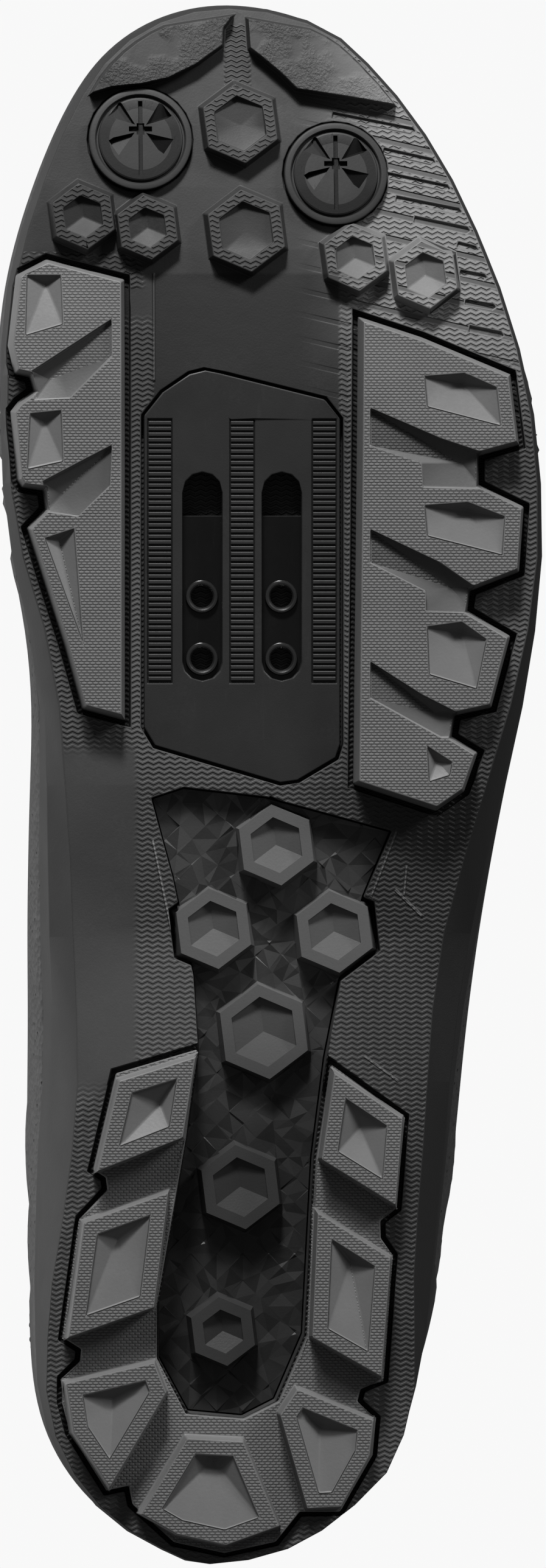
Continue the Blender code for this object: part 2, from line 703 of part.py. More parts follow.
def make_outsole():
    outsole = ring_solid("outsole", [
        ring(edge_distance, base_height),
        ring(side_distance, side_height),
        ring(rim_distance, rim_height),
        ring(rim_inner_distance, rim_height),
        ring(rim_inner_distance, footbed_height)])
    shares = [0.02, 0.2, 0.33, 0.4, 0.52]
    window_hole = profile_solid("window_hole", lambda x: -cutter_reach,
                                lambda x: plate_face(x) + arch_plate_thickness + fit, shares, ball_width)
    carve(window_hole, [flat_solid("window_edge", window_plan(window), -2 * cutter_reach, heel_stack)], "INTERSECT")
    # Each stud's room starts a little lower than the last, so that no two cutters share a plane
    stud_rooms = []
    for row, centre in zip(arch_studs, window_plan(arch_studs)):
        room = grown(hexagon(centre, row[2]), lug_draft + plate_groove)
        bottom = -cutter_reach * (1.1 + 0.1 * len(stud_rooms))
        stud_rooms.append(flat_solid("stud_room", room, bottom, plate_face(centre.x) + arch_plate_thickness))
    carve(window_hole, stud_rooms, "UNION")
    floor = forefoot_lug + pocket_depth
    pad_pockets = [flat_solid("pad_pocket", grown(pad_plan(rows, side), lug_draft + groove), -cutter_reach, floor)
                   for rows, side in ((medial_pad, -1), (lateral_pad, 1))]
    heel_pocket = flat_solid("heel_pocket", grown(plan(heel_web), groove), -cutter_reach, heel_lug + pocket_depth)
    plate_pocket = flat_solid("plate_pocket", cleat_plan(plate_groove), -cutter_reach,
                              forefoot_lug + plate_recess + plate_thickness + fit)
    centre = Vector((shoe_length * plate_at, plate_offset))
    nut_pocket = flat_solid("nut_pocket",
                            rectangle(centre, slot_length + 2 * pocket_margin, nut_width + 2 * pocket_margin),
                            forefoot_lug, ball_stack - footbed_skin)
    cap_pockets = [flat_solid("cap_pocket", circle(plan([row[1:]])[0], cap_radius + fit, cap_sides),
                              -cutter_reach,
                              forefoot_lug - cap_rise + cap_height + fit) for row in cap_rows]
    carve(outsole, [window_hole, heel_pocket, plate_pocket, nut_pocket] + pad_pockets)
    carve(outsole, [front_groove(*row) for row in front_grooves])
    root = forefoot_lug + root_depth
    tip = forefoot_lug - stud_height
    studs = [stud_solids("stud", plan([row[:2]])[0], row[2], root, tip) for row in toe_studs]
    wings = [drafted_solid("wing", wing_plan(rows, side), root, forefoot_lug - wing_height, wing_draft)
             for rows, side in ((medial_wing, -1), (lateral_wing, 1))]
    carve(outsole, [body for body, cutter in studs] + wings, "UNION")
    carve(outsole, [cutter for body, cutter in studs] + cap_pockets)
    spring_toe(outsole)
    return outsole


def front_groove(start_at, start_over, end_at, end_over):
    start, end = plan([(start_at, start_over), (end_at, end_over)])
    along = (end - start).normalized()
    side = Vector((-along.y, along.x)) * front_groove_width / 2
    points = [start - side, end - side, end + along * front_groove_width / 2, end + side, start + side]
    return flat_solid("front_groove", points, -cutter_reach, forefoot_lug + front_groove_depth)


def circle(centre, radius, sides):
    return [centre + Vector((radius * cos(2 * pi * k / sides), radius * sin(2 * pi * k / sides)))
            for k in range(sides)]


def make_arch_plate():
    shares = [0.02, 0.2, 0.33, 0.4, 0.52]
    plate = profile_solid("arch_plate", plate_face, lambda x: plate_face(x) + arch_plate_thickness,
                          shares, ball_width)
    carve(plate, [flat_solid("plate_edge", grown(window_plan(window), -fit), 0, heel_stack)], "INTERSECT")
    studs = []
    for row, centre in zip(arch_studs, window_plan(arch_studs)):
        face = plate_face(centre.x)
        studs.append(stud_solids("stud", centre, row[2], face + root_depth, face - row[3]))
    carve(plate, [body for body, cutter in studs], "UNION")
    carve(plate, [cutter for body, cutter in studs])
    return plate


def make_pad(name, rows, hollows, side):
    points = pad_plan(rows, side)
    pad = drafted_solid(name, points, forefoot_lug + pocket_depth - fit, 0, lug_draft)
    cutters = []
    for edge, deepest, edge_share, depth_share in hollows:
        inner = pad_plan(edge, side)
        centre = pad_plan([deepest], side)[0]
        depths = [edge_share * hollow_depth] * len(inner)
        cutters.append(hollow_cutter("hollow", inner, depths, centre, depth_share * hollow_depth))
    carve(pad, cutters)
    spring_toe(pad)
    return pad


def make_heel_tread():
    top = heel_lug + pocket_depth - fit
    tread = flat_solid("heel_tread", plan(heel_web), top - web_height, top)
    lugs = []
    cutters = []
    for edge, deepest in heel_lugs:
        points = plan(edge)
        lugs.append(drafted_solid("lug", points, top - 0.4 * web_height, 0, 0.7 * lug_draft))
        inner = grown(points, -hollow_rim)
        depths = [0.1 * hollow_depth] * len(inner)
        cutters.append(hollow_cutter("hollow", inner, depths, plan([deepest])[0], 1.3 * hollow_depth))
    carve(tread, lugs, "UNION")
    carve(tread, cutters)
    return tread


def make_cleat_plate():
    low = forefoot_lug + plate_recess
    plate = flat_solid("cleat_plate", cleat_plan(), low, low + plate_thickness)
    slots = [flat_solid("slot", stadium(centre, slot_length, slot_width), 0, 2 * forefoot_lug + plate_thickness)
             for centre in slot_centres()]
    middle = Vector((shoe_length * plate_at + rule_shift, plate_offset))
    rules = [flat_solid("rule", rectangle(middle + Vector((0, side * rule_spacing)), rule_length, rule_width),
                        0, low + rule_depth) for side in (-1, 0, 1)]
    carve(plate, slots + rules)
    return plate


def make_nut_plate():
    low = forefoot_lug + plate_recess + plate_thickness + 2 * fit
    centre = Vector((shoe_length * plate_at + nut_shift, plate_offset))
    plate = flat_solid("cleat_nut_plate", rectangle(centre, nut_length, nut_width), low, low + nut_thickness)
    holes = []
    for side in (-1, 1):
        for end in (-1, 1):
            place = centre + Vector((thread_shift + end * bolt_rows / 2, side * bolt_spacing / 2))
            holes.append(flat_solid("thread", circle(place, thread_radius, 16), 0, ball_stack))
    carve(plate, holes)
    return plate


def make_cap(name, at, over):
    # Turned plug: outer ring, groove, slightly domed face
    low = forefoot_lug - cap_rise
    profile = (
        (0, 0.15 * mm),
        (cap_face_radius * 0.7, 0.2 * mm),
        (cap_face_radius, 0.5 * mm),
        (cap_face_radius + 0.25 * mm, 0.9 * mm),
        (cap_face_radius + 0.5 * mm, 0.9 * mm),
        (cap_face_radius + 0.7 * mm, 0.25 * mm),
        (cap_radius - 0.3 * mm, 0.2 * mm),
        (cap_radius, 0.6 * mm),
        (cap_radius, cap_height),
        (0, cap_height))
    mesh = bpy.data.meshes.new(name)
    points = [(radius, 0, height) for radius, height in reversed(profile)]
    mesh.from_pydata(points, [(k, k + 1) for k in range(len(points) - 1)], [])
    cap = new_piece(name, mesh)
    screw = cap.modifiers.new("turn", "SCREW")
    screw.steps = cap_sides
    screw.render_steps = cap_sides
    screw.use_merge_vertices = True
    screw.merge_threshold = 0.001 * mm
    carve(cap, [])
    centre = plan([(at, over)])[0]
    cap.data.transform(Matrix.Translation((centre.x, centre.y, low)))
    spring_toe(cap)
    return cap


def wall_point(place, rise):
    # A point of the upper's outer face: rise 0 at the rim, foot_share at the widest line
    # and 1 at the open edge
    side = outline(place)
    out = outward(place)
    rim = side - out * (rim_distance(place) + fit)
    rim.z = rim_height(rim.x) + spring(rim.x) + soft_fit
    widest = side.copy()
    widest.z = rim_height(side.x) + spring(side.x) + widest_rise(place)
    if rise <= foot_share:
        t = rise / foot_share
        point = widest.lerp(rim, (1 - t) ** 2)
        point.z = rim.z + (widest.z - rim.z) * t
        return point
    t = (rise - foot_share) / (1 - foot_share)
    mouth = Vector((shoe_length * mouth_along(place), ball_width * mouth_across(place),
                    instep_height * mouth_height(place)))
    height = mouth.z - widest.z
    start = widest + Vector((0, 0, wall_upright(place) * height))
    shoulder = mouth + (Vector((widest.x, widest.y, 0)) - Vector((mouth.x, mouth.y, 0))) * wall_shoulder(place)
    shoulder.z = mouth.z - wall_drop(place) * height
    return (widest * (1 - t) ** 3 + start * 3 * t * (1 - t) ** 2
            + shoulder * 3 * t * t * (1 - t) + mouth * t ** 3)


def wall_normal(place, rise):
    step = 0.004
    around_shoe = wall_point(place + step, rise) - wall_point(place - step, rise)
    up_wall = wall_point(place, min(rise + step, 1)) - wall_point(place, max(rise - step, 0))
    return around_shoe.cross(up_wall).normalized()


def wall_offset(place, rise, distance):
    # A point off the upper's outer face, outwards for a positive distance
    return wall_point(place, rise) + wall_normal(place, rise) * distance


def sheet(name, rows, thickness, outwards):
    # A grid of points given its thickness on one side
    bm = bmesh.new()
    grid = [[bm.verts.new(point) for point in row] for row in rows]
    for before, after in zip(grid, grid[1:]):
        for k in range(len(before) - 1):
            bm.faces.new((before[k], before[k + 1], after[k + 1], after[k]))
    mesh = bpy.data.meshes.new(name)
    bm.to_mesh(mesh)
    bm.free()
    piece = new_piece(name, mesh)
    solidify = piece.modifiers.new("thickness", "SOLIDIFY")
    solidify.thickness = thickness
    solidify.offset = 1 if outwards else -1
    solidify.use_even_offset = True
    solidify.use_quality_normals = True
    carve(piece, [])
    return piece


def make_upper():
    rises = [0, foot_share / 2, foot_share]
    rises += [foot_share + (1 - foot_share) * (k + 1) / wall_rows_up for k in range(wall_rows_up)]
    places = [k / columns for k in range(columns)]
    bm = bmesh.new()
    loops = [[bm.verts.new(wall_point(place, rise)) for place in places] for rise in rises]
    for lower, upper in zip(loops, loops[1:]):
        bridge_rings(bm, lower, upper)
    mesh = bpy.data.meshes.new("upper")
    bm.to_mesh(mesh)
    bm.free()
    upper = new_piece("upper", mesh)
    solidify = upper.modifiers.new("thickness", "SOLIDIFY")
    solidify.thickness = wall
    solidify.offset = -1
    solidify.use_even_offset = True
    solidify.use_quality_normals = True
    carve(upper, [])
    return upper


def mouth_place(share):
    # Place on the inner side whose open edge lies at a share of the length
    low, high = 0.2, 0.5
    for step in range(30):
        middle = (low + high) / 2
        if mouth_along(middle) < share:
            low = middle
        else:
            high = middle
    return low


def throat_bridge(left, right, crown, steps=3):
    # Points over the throat between its two edges, slightly crowned
    points = []
    for k in range(1, steps + 1):
        t = k / (steps + 1)
        point = left.lerp(right, t)
        point.z += 4 * t * (1 - t) * crown * (right - left).length
        points.append(point)
    return points


def wall_place(x, rise, side):
    # Place on the inner (-1) or outer (1) side where the wall's point has a given x
    low, high = 0.1, 0.5
    for step in range(24):
        middle = (low + high) / 2
        place = middle if side < 0 else 1 - middle
        if wall_point(place, rise).x < x:
            low = middle
        else:
            high = middle
    return low if side < 0 else 1 - low


def strap_side(x, end, side):
    # Points up one wall, from a strap's end to the throat's edge, slanting back
    points = []
    for i in range(strap_steps + 1):
        t = i / strap_steps
        rise = end + (1 - end) * t
        place = wall_place(x + strap_slant * (1 - t), rise, side)
        points.append(wall_offset(place, rise, strap_lift))
    return points


def make_strap(name, share, inner_end, outer_end):
    rows = []
    for k in range(3):
        x = shoe_length * share + (k - 1) * strap_width / 2
        inner = strap_side(x, inner_end, -1)
        outer = strap_side(x, outer_end, 1)
        rows.append(inner + throat_bridge(inner[-1], outer[-1], throat_crown) + outer[::-1])
    return sheet(name, rows, strap_thickness, False)


def tongue_row(place):
    # Across the throat, just under the upper's inner face
    deep = wall + 2 * soft_fit
    tuck = 0.74
    inner = [wall_offset(place, rise, -deep) for rise in (tuck, 0.87, 1)]
    outer = [wall_offset(1 - place, rise, -deep) for rise in (1, 0.87, tuck)]
    return inner + throat_bridge(inner[-1], outer[0], throat_crown * 0.6) + outer


def make_tongue():
    top = mouth_place(0.450)
    next_place = mouth_place(0.500)
    first = tongue_row(top)
    second = tongue_row(next_place)
    rows = []
    for reach, width in ((1, 0.70), (0.5, 0.78)):
        row = [a + (a - b) * reach * tongue_reach / (a - b).length for a, b in zip(first, second)]
        middle = (row[0] + row[-1]) / 2
        rows.append([Vector((point.x, middle.y + (point.y - middle.y) * width, point.z)) for point in row])
    for k in range(6):
        rows.append(tongue_row(top + (0.47 - top) * k / 5))
    front = rows[-1]
    rows.append([front[0].lerp(front[-1], k / (len(front) - 1)) for k in range(len(front))])
    return sheet("tongue", rows, tongue_thickness, True)


def make_insole():
    def inset(place):
        return rim_inner_distance(place) + fit

    def low(x):
        return footbed_height(x) + spring(x) + fit

    def high(x):
        return low(x) + insole_thickness

    def crowned(place):
        return inset(place) + insole_slope

    return ring_solid("insole", [ring(inset, low, 48), ring(crowned, high, 48)])


def give_material(piece, kind):
    grey, roughness = finish[kind]
    material = bpy.data.materials.new(piece.name)
    material.use_nodes = True
    shader = material.node_tree.nodes["Principled BSDF"]
    level = grey ** 2.2
    shader.inputs["Base Color"].default_value = (level, level, level, 1)
    shader.inputs["Roughness"].default_value = roughness
    shader.inputs["Metallic"].default_value = 1.0 if kind == "nut" else 0.0
    piece.data.materials.clear()
    piece.data.materials.append(material)
    piece.data.shade_smooth()
    piece.data.set_sharp_from_angle(angle=radians(30))


def centre_of_volume(pieces):
    total = 0.0
    moment = Vector((0, 0, 0))
    for piece, kind in pieces:
        bm = bmesh.new()
        bm.from_mesh(piece.data)
        bmesh.ops.triangulate(bm, faces=bm.faces[:])
        for face in bm.faces:
            a, b, c = (vert.co for vert in face.verts)
            volume = a.dot(b.cross(c)) / 6
            total += volume
            moment += (a + b + c) / 4 * volume
        bm.free()
    return moment / total


def resting_normal(pieces, centre):
    # The face of the shoe's convex hull, on its outer side, on which it lies still
    bm = bmesh.new()
    for piece, kind in pieces:
        for vert in piece.data.vertices:
            bm.verts.new(vert.co)
    hull = bmesh.ops.convex_hull(bm, input=bm.verts[:], use_existing_faces=False)
    faces = [item for item in hull["geom"] if isinstance(item, bmesh.types.BMFace)]
    best = None
    for face in faces:
        normal = face.normal.copy()
        corners = [vert.co.copy() for vert in face.verts]
        if normal.dot(corners[0] - centre) < 0:
            normal.negate()
        if normal.y < 0.7:
            continue
        foot = centre + normal * normal.dot(corners[0] - centre)
        turns = []
        for k in range(len(corners)):
            edge = corners[(k + 1) % len(corners)] - corners[k]
            turns.append(edge.cross(foot - corners[k]).dot(normal))
        if min(turns) >= 0 or max(turns) <= 0:
            height = (foot - centre).length
            if best is None or height < best[0]:
                best = (height, normal)
    bm.free()
    return best[1]


def lay_down(pieces):
    # Turns the shoe onto its outer side, with the toe along +X and the sole facing -Y
    centre = centre_of_volume(pieces)
    down = resting_normal(pieces, centre)
    along = (Vector((1, 0, 0)) - down * down.x).normalized()
    up = -down
    back = up.cross(along)
    turn = Matrix((along, back, up))
    corners = [turn @ vert.co for piece, kind in pieces for vert in piece.data.vertices]
    low = Vector([min(corner[axis] for corner in corners) for axis in range(3)])
    high = Vector([max(corner[axis] for corner in corners) for axis in range(3)])
    shift = Vector((-(low.x + high.x) / 2, -(low.y + high.y) / 2, -low.z))
    frame = bpy.data.objects.new("shoe_frame", None)
    shoe.objects.link(frame)
    frame.matrix_world = Matrix.Translation(shift) @ turn.to_4x4()
    for piece, kind in pieces:
        piece.parent = frame
        cutters.objects.unlink(piece)
        shoe.objects.link(piece)


for old in list(bpy.data.objects):
    bpy.data.objects.remove(old)
shoe = bpy.data.collections.new("cycling_shoe")
cutters = bpy.data.collections.new("cutters")
bpy.context.scene.collection.children.link(shoe)
bpy.context.scene.collection.children.link(cutters)

pieces = [
    (make_upper(), "upper"),
    (make_tongue(), "tongue"),
    (make_insole(), "insole"),
    (make_outsole(), "outsole"),
    (make_arch_plate(), "arch_plate"),
    (make_pad("medial_tread", medial_pad, medial_hollows, -1), "tread"),
    (make_pad("lateral_tread", lateral_pad, lateral_hollows, 1), "tread"),
    (make_heel_tread(), "tread"),
    (make_cleat_plate(), "cleat_plate"),
    (make_nut_plate(), "nut")]
pieces += [(make_cap(*row), "cap") for row in cap_rows]
pieces += [(make_strap(*row), "strap") for row in strap_rows]
for piece, kind in pieces:
    give_material(piece, kind)
lay_down(pieces)
bpy.context.view_layer.update()
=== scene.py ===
import json
from math import atan2, cos, pi, radians, sin
from random import Random
import bpy
from mathutils import Matrix, Vector
from mathutils.bvhtree import BVHTree


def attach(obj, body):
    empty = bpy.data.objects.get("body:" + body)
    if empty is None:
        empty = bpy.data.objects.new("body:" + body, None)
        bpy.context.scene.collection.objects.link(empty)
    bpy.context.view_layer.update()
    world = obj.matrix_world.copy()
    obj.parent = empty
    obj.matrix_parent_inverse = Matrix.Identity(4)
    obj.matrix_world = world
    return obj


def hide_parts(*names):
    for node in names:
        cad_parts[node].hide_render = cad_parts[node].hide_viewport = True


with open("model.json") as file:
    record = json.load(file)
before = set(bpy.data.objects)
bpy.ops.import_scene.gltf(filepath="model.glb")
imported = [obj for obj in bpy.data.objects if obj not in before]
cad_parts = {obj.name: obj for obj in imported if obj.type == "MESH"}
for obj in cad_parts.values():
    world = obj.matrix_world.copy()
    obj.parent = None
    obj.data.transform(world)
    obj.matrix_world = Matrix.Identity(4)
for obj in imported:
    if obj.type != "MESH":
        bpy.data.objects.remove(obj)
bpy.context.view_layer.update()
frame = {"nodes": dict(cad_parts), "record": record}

mm = 0.001

# The shoe's axes in the row frame come from its flat heel face, which lies at heelPlace along them
heelPlace = (52.6, 13.6)
heelFace = [mount for mount in frame["record"]["mounts"] if mount["name"] == "heel_tread_face"][0]
shoeUp = -Vector(heelFace["axis"]).normalized()
shoeAlong = Vector((0, 1, 0)).cross(shoeUp).normalized()
shoeOuter = shoeUp.cross(shoeAlong)
shoeTurn = Matrix((shoeAlong, shoeOuter, shoeUp)).transposed()
shoeOrigin = Vector(heelFace["pos_m"]) - shoeTurn @ Vector((heelPlace[0] * mm, heelPlace[1] * mm, 0))
shoeFrame = Matrix.Translation(shoeOrigin) @ shoeTurn.to_4x4()

soleShape = {"length": 277, "toeRise": 15, "riseStart": 0.72, "riseSteps": 7, "riseBend": 1.8}


def toeRise(x):
    # How far the toe is turned up at x, in straight steps
    steps = soleShape["riseSteps"]
    start = soleShape["riseStart"]
    place = max(x / soleShape["length"] - start, 0) / ((1 - start) / steps)
    index = min(int(place), steps - 1)
    low = soleShape["toeRise"] * (index / steps) ** soleShape["riseBend"]
    high = soleShape["toeRise"] * ((index + 1) / steps) ** soleShape["riseBend"]
    return low + (high - low) * (place - index)


def alongLine(pairs, x):
    # Straight line through (x, value) pairs
    if x <= pairs[0][0]:
        return pairs[0][1]
    for (x0, low), (x1, high) in zip(pairs, pairs[1:]):
        if x <= x1:
            return low + (high - low) * (x - x0) / (x1 - x0)
    return pairs[-1][1]


def smooth(value, low, high):
    t = min(max((value - low) / (high - low), 0), 1)
    return t * t * (3 - 2 * t)


def pickOnly(piece):
    bpy.ops.object.select_all(action="DESELECT")
    piece.select_set(True)
    bpy.context.view_layer.objects.active = piece


def startEdit(piece, selected="SELECT"):
    pickOnly(piece)
    bpy.ops.object.mode_set(mode="EDIT")
    bpy.ops.mesh.select_mode(type="VERT")
    bpy.ops.mesh.select_all(action=selected)


def endEdit():
    bpy.ops.object.mode_set(mode="OBJECT")


def pickFaces(piece, test):
    # Selects the faces whose centre and normal pass the test, in edit mode
    bpy.ops.mesh.select_mode(type="FACE")
    bpy.ops.mesh.select_all(action="DESELECT")
    bpy.ops.object.mode_set(mode="OBJECT")
    for face in piece.data.polygons:
        face.select = test(face.center / mm, face.normal)
    bpy.ops.object.mode_set(mode="EDIT")


def applyAll(piece):
    pickOnly(piece)
    for modifier in list(piece.modifiers):
        bpy.ops.object.modifier_apply(modifier=modifier.name)


def newObject(name, data):
    made = bpy.data.objects.new(name, data)
    bpy.context.scene.collection.objects.link(made)
    return made


def settle(piece):
    # Its place and size go into its mesh
    pickOnly(piece)
    bpy.ops.object.transform_apply(location=True, rotation=True, scale=True)


def joinAll(pieces, name):
    pickOnly(pieces[0])
    for piece in pieces:
        piece.select_set(True)
    bpy.ops.object.join()
    pieces[0].name = name
    return pieces[0]


def moveAll(mesh, moves):
    for vert, move in zip(mesh.vertices, moves):
        vert.co += move
    mesh.update()


def surfaceOf(mesh, turn=Matrix()):
    # The mesh as a tree, to find its nearest place or where a line meets it
    return BVHTree.FromPolygons([turn @ vert.co for vert in mesh.vertices],
                                [tuple(face.vertices) for face in mesh.polygons])


def copyNode(nodeName, pieceName, flatten=0.4, weld=0.002, move=None):
    # A copy of a solid in the shoe's axes, merged into whole faces
    piece = newObject(pieceName, frame["nodes"][nodeName].data.copy())
    piece.data.materials.clear()
    piece.data.transform(shoeFrame.inverted())
    startEdit(piece)
    bpy.ops.mesh.customdata_custom_splitnormals_clear()
    bpy.ops.mesh.remove_doubles(threshold=weld * mm)
    if flatten:
        bpy.ops.mesh.dissolve_limited(angle_limit=radians(flatten))
        if move:
            endEdit()
            for vert in piece.data.vertices:
                vert.co += Vector(move(vert.co / mm)) * mm
            startEdit(piece)
        bpy.ops.mesh.quads_convert_to_tris(quad_method="BEAUTY", ngon_method="CLIP")
        bpy.ops.mesh.beautify_fill(angle_limit=radians(0.5))
    else:
        bpy.ops.mesh.tris_convert_to_quads(face_threshold=radians(50), shape_threshold=radians(50))
    endEdit()
    return piece


def roundEdges(piece, width, segments=3, angle=25):
    bevel = piece.modifiers.new("roundEdges", "BEVEL")
    bevel.width = width * mm
    bevel.segments = segments
    bevel.limit_method = "ANGLE"
    bevel.angle_limit = radians(angle)
    bevel.use_clamp_overlap = False
    before = surfaceOf(piece.data)
    applyAll(piece)
    for vert in piece.data.vertices:
        # A point that a sharp corner throws far off goes back to the first surface
        place, normal, index, far = before.find_nearest(vert.co)
        if far > width * 1.2 * mm:
            vert.co = place
    startEdit(piece)
    bpy.ops.mesh.quads_convert_to_tris(quad_method="BEAUTY", ngon_method="CLIP")
    bpy.ops.mesh.beautify_fill(angle_limit=radians(1))
    endEdit()


def subdivide(piece, levels):
    modifier = piece.modifiers.new("smoothness", "SUBSURF")
    modifier.levels = levels
    modifier.render_levels = levels
    applyAll(piece)


def markSole(piece):
    # Keeps each point's height over the tread and each face's turn from it, as if the toe were flat
    mesh = piece.data
    height = mesh.attributes.new("height", "FLOAT", "POINT")
    turn = mesh.attributes.new("turn", "FLOAT", "FACE")
    for vert in mesh.vertices:
        vert.co.z -= toeRise(vert.co.x / mm) * mm
        height.data[vert.index].value = vert.co.z / mm
    mesh.update()
    for face in mesh.polygons:
        turn.data[face.index].value = -face.normal.z
    for vert in mesh.vertices:
        vert.co.z += toeRise(vert.co.x / mm) * mm
    mesh.update()


def placePiece(piece, finish, replaced=(), smoothAngle=24):
    # The finished piece goes into the row frame, gets its look and rides on the shoe
    piece.data.transform(shoeFrame)
    pickOnly(piece)
    bpy.ops.object.shade_smooth_by_angle(angle=radians(smoothAngle))
    if smoothAngle < 40:
        # Moulded faces stay flat up to their rounded edges
        flat = piece.modifiers.new("flatFaces", "WEIGHTED_NORMAL")
        flat.weight = 100
        flat.keep_sharp = True
        applyAll(piece)
    if not piece.data.materials:
        piece.data.materials.append(finish.material)
    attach(piece, "root")
    if replaced:
        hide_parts(*replaced)
    return piece


class Value:
    # A number that changes over a surface: Python's own signs add Math nodes to it
    def __init__(self, finish, socket):
        self.finish = finish
        self.socket = socket

    def math(self, operation, *inputs):
        node = self.finish.add("ShaderNodeMath", {"operation": operation}, dict(enumerate(inputs)))
        return Value(self.finish, node.outputs[0])

    def __add__(self, other):
        return self.math("ADD", self, other)

    def __radd__(self, other):
        return self.math("ADD", other, self)

    def __sub__(self, other):
        return self.math("SUBTRACT", self, other)

    def __rsub__(self, other):
        return self.math("SUBTRACT", other, self)

    def __mul__(self, other):
        return self.math("MULTIPLY", self, other)

    def __rmul__(self, other):
        return self.math("MULTIPLY", other, self)

    def __truediv__(self, other):
        return self.math("DIVIDE", self, other)

    def wave(self):
        # Up to 1 and down to 0 again, once in each whole number
        return self.math("PINGPONG", self, 0.5) * 2

    def ramp(self, low, high):
        # 0 up to low, 1 from high on, and smooth between them
        node = self.finish.add("ShaderNodeMapRange", {"interpolation_type": "SMOOTHSTEP"},
                               {"Value": self, "From Min": low, "From Max": high})
        return Value(self.finish, node.outputs["Result"])

    def between(self, low, high, edge=0.4):
        return self.ramp(low - edge, low + edge) * self.ramp(high + edge, high - edge)

    def most(self, other):
        return self.math("MAXIMUM", self, other)

    def least(self, other):
        return self.math("MINIMUM", self, other)


class Finish:
    # One material, with its places in mm along the shoe's own axes
    def __init__(self, name):
        self.material = bpy.data.materials.new(name)
        self.material.use_nodes = True
        self.tree = self.material.node_tree
        self.shader = self.tree.nodes["Principled BSDF"]
        place = self.add("ShaderNodeTexCoord")
        turned = self.add("ShaderNodeMapping", {"vector_type": "TEXTURE"},
                          {"Vector": place.outputs["Object"], "Location": shoeOrigin,
                           "Rotation": shoeTurn.to_euler()})
        scaled = self.add("ShaderNodeVectorMath", {"operation": "SCALE"},
                          {"Vector": turned.outputs["Vector"], "Scale": 1 / mm})
        self.place = scaled.outputs["Vector"]
        parts = self.add("ShaderNodeSeparateXYZ", {}, {"Vector": self.place})
        self.x, self.y, self.z = [Value(self, socket) for socket in parts.outputs]

    def add(self, kind, settings=None, sockets=None):
        node = self.tree.nodes.new(kind)
        for name, value in (settings or {}).items():
            setattr(node, name, value)
        for name, value in (sockets or {}).items():
            self.feed(node.inputs[name], value)
        return node

    def feed(self, socket, value):
        if isinstance(value, Value):
            value = value.socket
        if isinstance(value, bpy.types.NodeSocket):
            self.tree.links.new(value, socket)
        else:
            socket.default_value = value

    def stretched(self, x, y, z):
        # Places stretched along the axes, for a texture with its own size each way
        node = self.add("ShaderNodeVectorMath", {"operation": "MULTIPLY"}, {0: self.place, 1: (x, y, z)})
        return node.outputs["Vector"]

    def noise(self, size, detail=2.0, place=None):
        # Soft blotches of about that size in mm
        node = self.add("ShaderNodeTexNoise", {}, {"Vector": place or self.place, "Scale": 1 / size,
                                                   "Detail": detail, "Roughness": 0.55})
        return Value(self, node.outputs[0])

    def cells(self, size, feature="F1", output="Distance", place=None):
        node = self.add("ShaderNodeTexVoronoi", {"feature": feature},
                        {"Vector": place or self.place, "Scale": 1 / size})
        return Value(self, node.outputs[output])

    def attribute(self, name):
        node = self.add("ShaderNodeAttribute", {"attribute_name": name})
        return Value(self, node.outputs["Fac"])

    def mixed(self, share, first, second):
        # A number between two others, by share
        return first * (1 - share) + second * share

    def bump(self, height, strength=1.0):
        # Height in mm
        node = self.add("ShaderNodeBump", {}, {"Height": height, "Distance": mm, "Strength": strength})
        self.feed(self.shader.inputs["Normal"], node.outputs["Normal"])

    def set(self, **sockets):
        names = {"level": "Base Color", "roughness": "Roughness", "specular": "Specular IOR Level",
                 "metallic": "Metallic", "sheen": "Sheen Weight", "sheenRoughness": "Sheen Roughness"}
        for name, value in sockets.items():
            self.feed(self.shader.inputs[names[name]], value)


# Shared looks of the moulded rubber and plastic
def zigzag(finish, pitch, period, reach):
    # Fine moulded lines across the shoe that run in zig-zags
    steps = (finish.y / period).wave() * reach
    return ((finish.x + steps) / pitch).wave().ramp(0.25, 0.75)


def dust(finish, amount):
    # Faint grey dust and rubbed spots
    spots = finish.noise(14, 4).ramp(0.45, 0.75)
    grain = finish.noise(0.7, 2).ramp(0.35, 0.7)
    return spots * grain * amount


def stroke(finish, x0, y0, x1, y1, wide):
    # A thin straight rib from one place to another; its mask carries a bump and a painted highlight
    long = ((x1 - x0) ** 2 + (y1 - y0) ** 2) ** 0.5
    along = ((finish.x - x0) * (x1 - x0) + (finish.y - y0) * (y1 - y0)) / long
    over = ((finish.y - y0) * (x1 - x0) - (finish.x - x0) * (y1 - y0)) / long
    return along.between(0, long, 0.3) * over.between(-wide / 2, wide / 2, 0.1)


# Places are (x from, x to) or (x from, x to, y from, y to), and ribs, which get a painted highlight, go from
# one (x, y) to another
baseLook = {"level": 0.068, "toeLevel": 0.038, "sideLevel": 0.024, "grooveShadeLevel": 0.002, "paintedSheenLevel": 0.175,
            "roughness": 0.50, "sideRoughness": 0.62, "dust": 0.008,
            "zigPitch": 0.9, "zigPeriod": 1.9, "zigReach": 0.45, "zigDepth": 0.20,
            "panel": (200.0, 228.5, -16.2, 16.7), "waist": (84, 146),
            "stem": (260, 273, -3.0, 1.3), "abovePad": (226, 232),
            "longRibHighlight": (119.8, 26.7, 115.1, 31.5),
            "ribs": [(90.4, 21.3, 86.1, 27.1), (130.4, 26.9, 118.4, 22.3), (128.5, -16.2, 112.6, -12.8),
                     (228.4, -16.0, 209.5, -16.0), (124.0, 28.6, 118.6, 28.2)],
            "bandPitch": 4.3, "bandSlope": 0.23, "bandGap": 0.26, "gritDepth": 0.3}


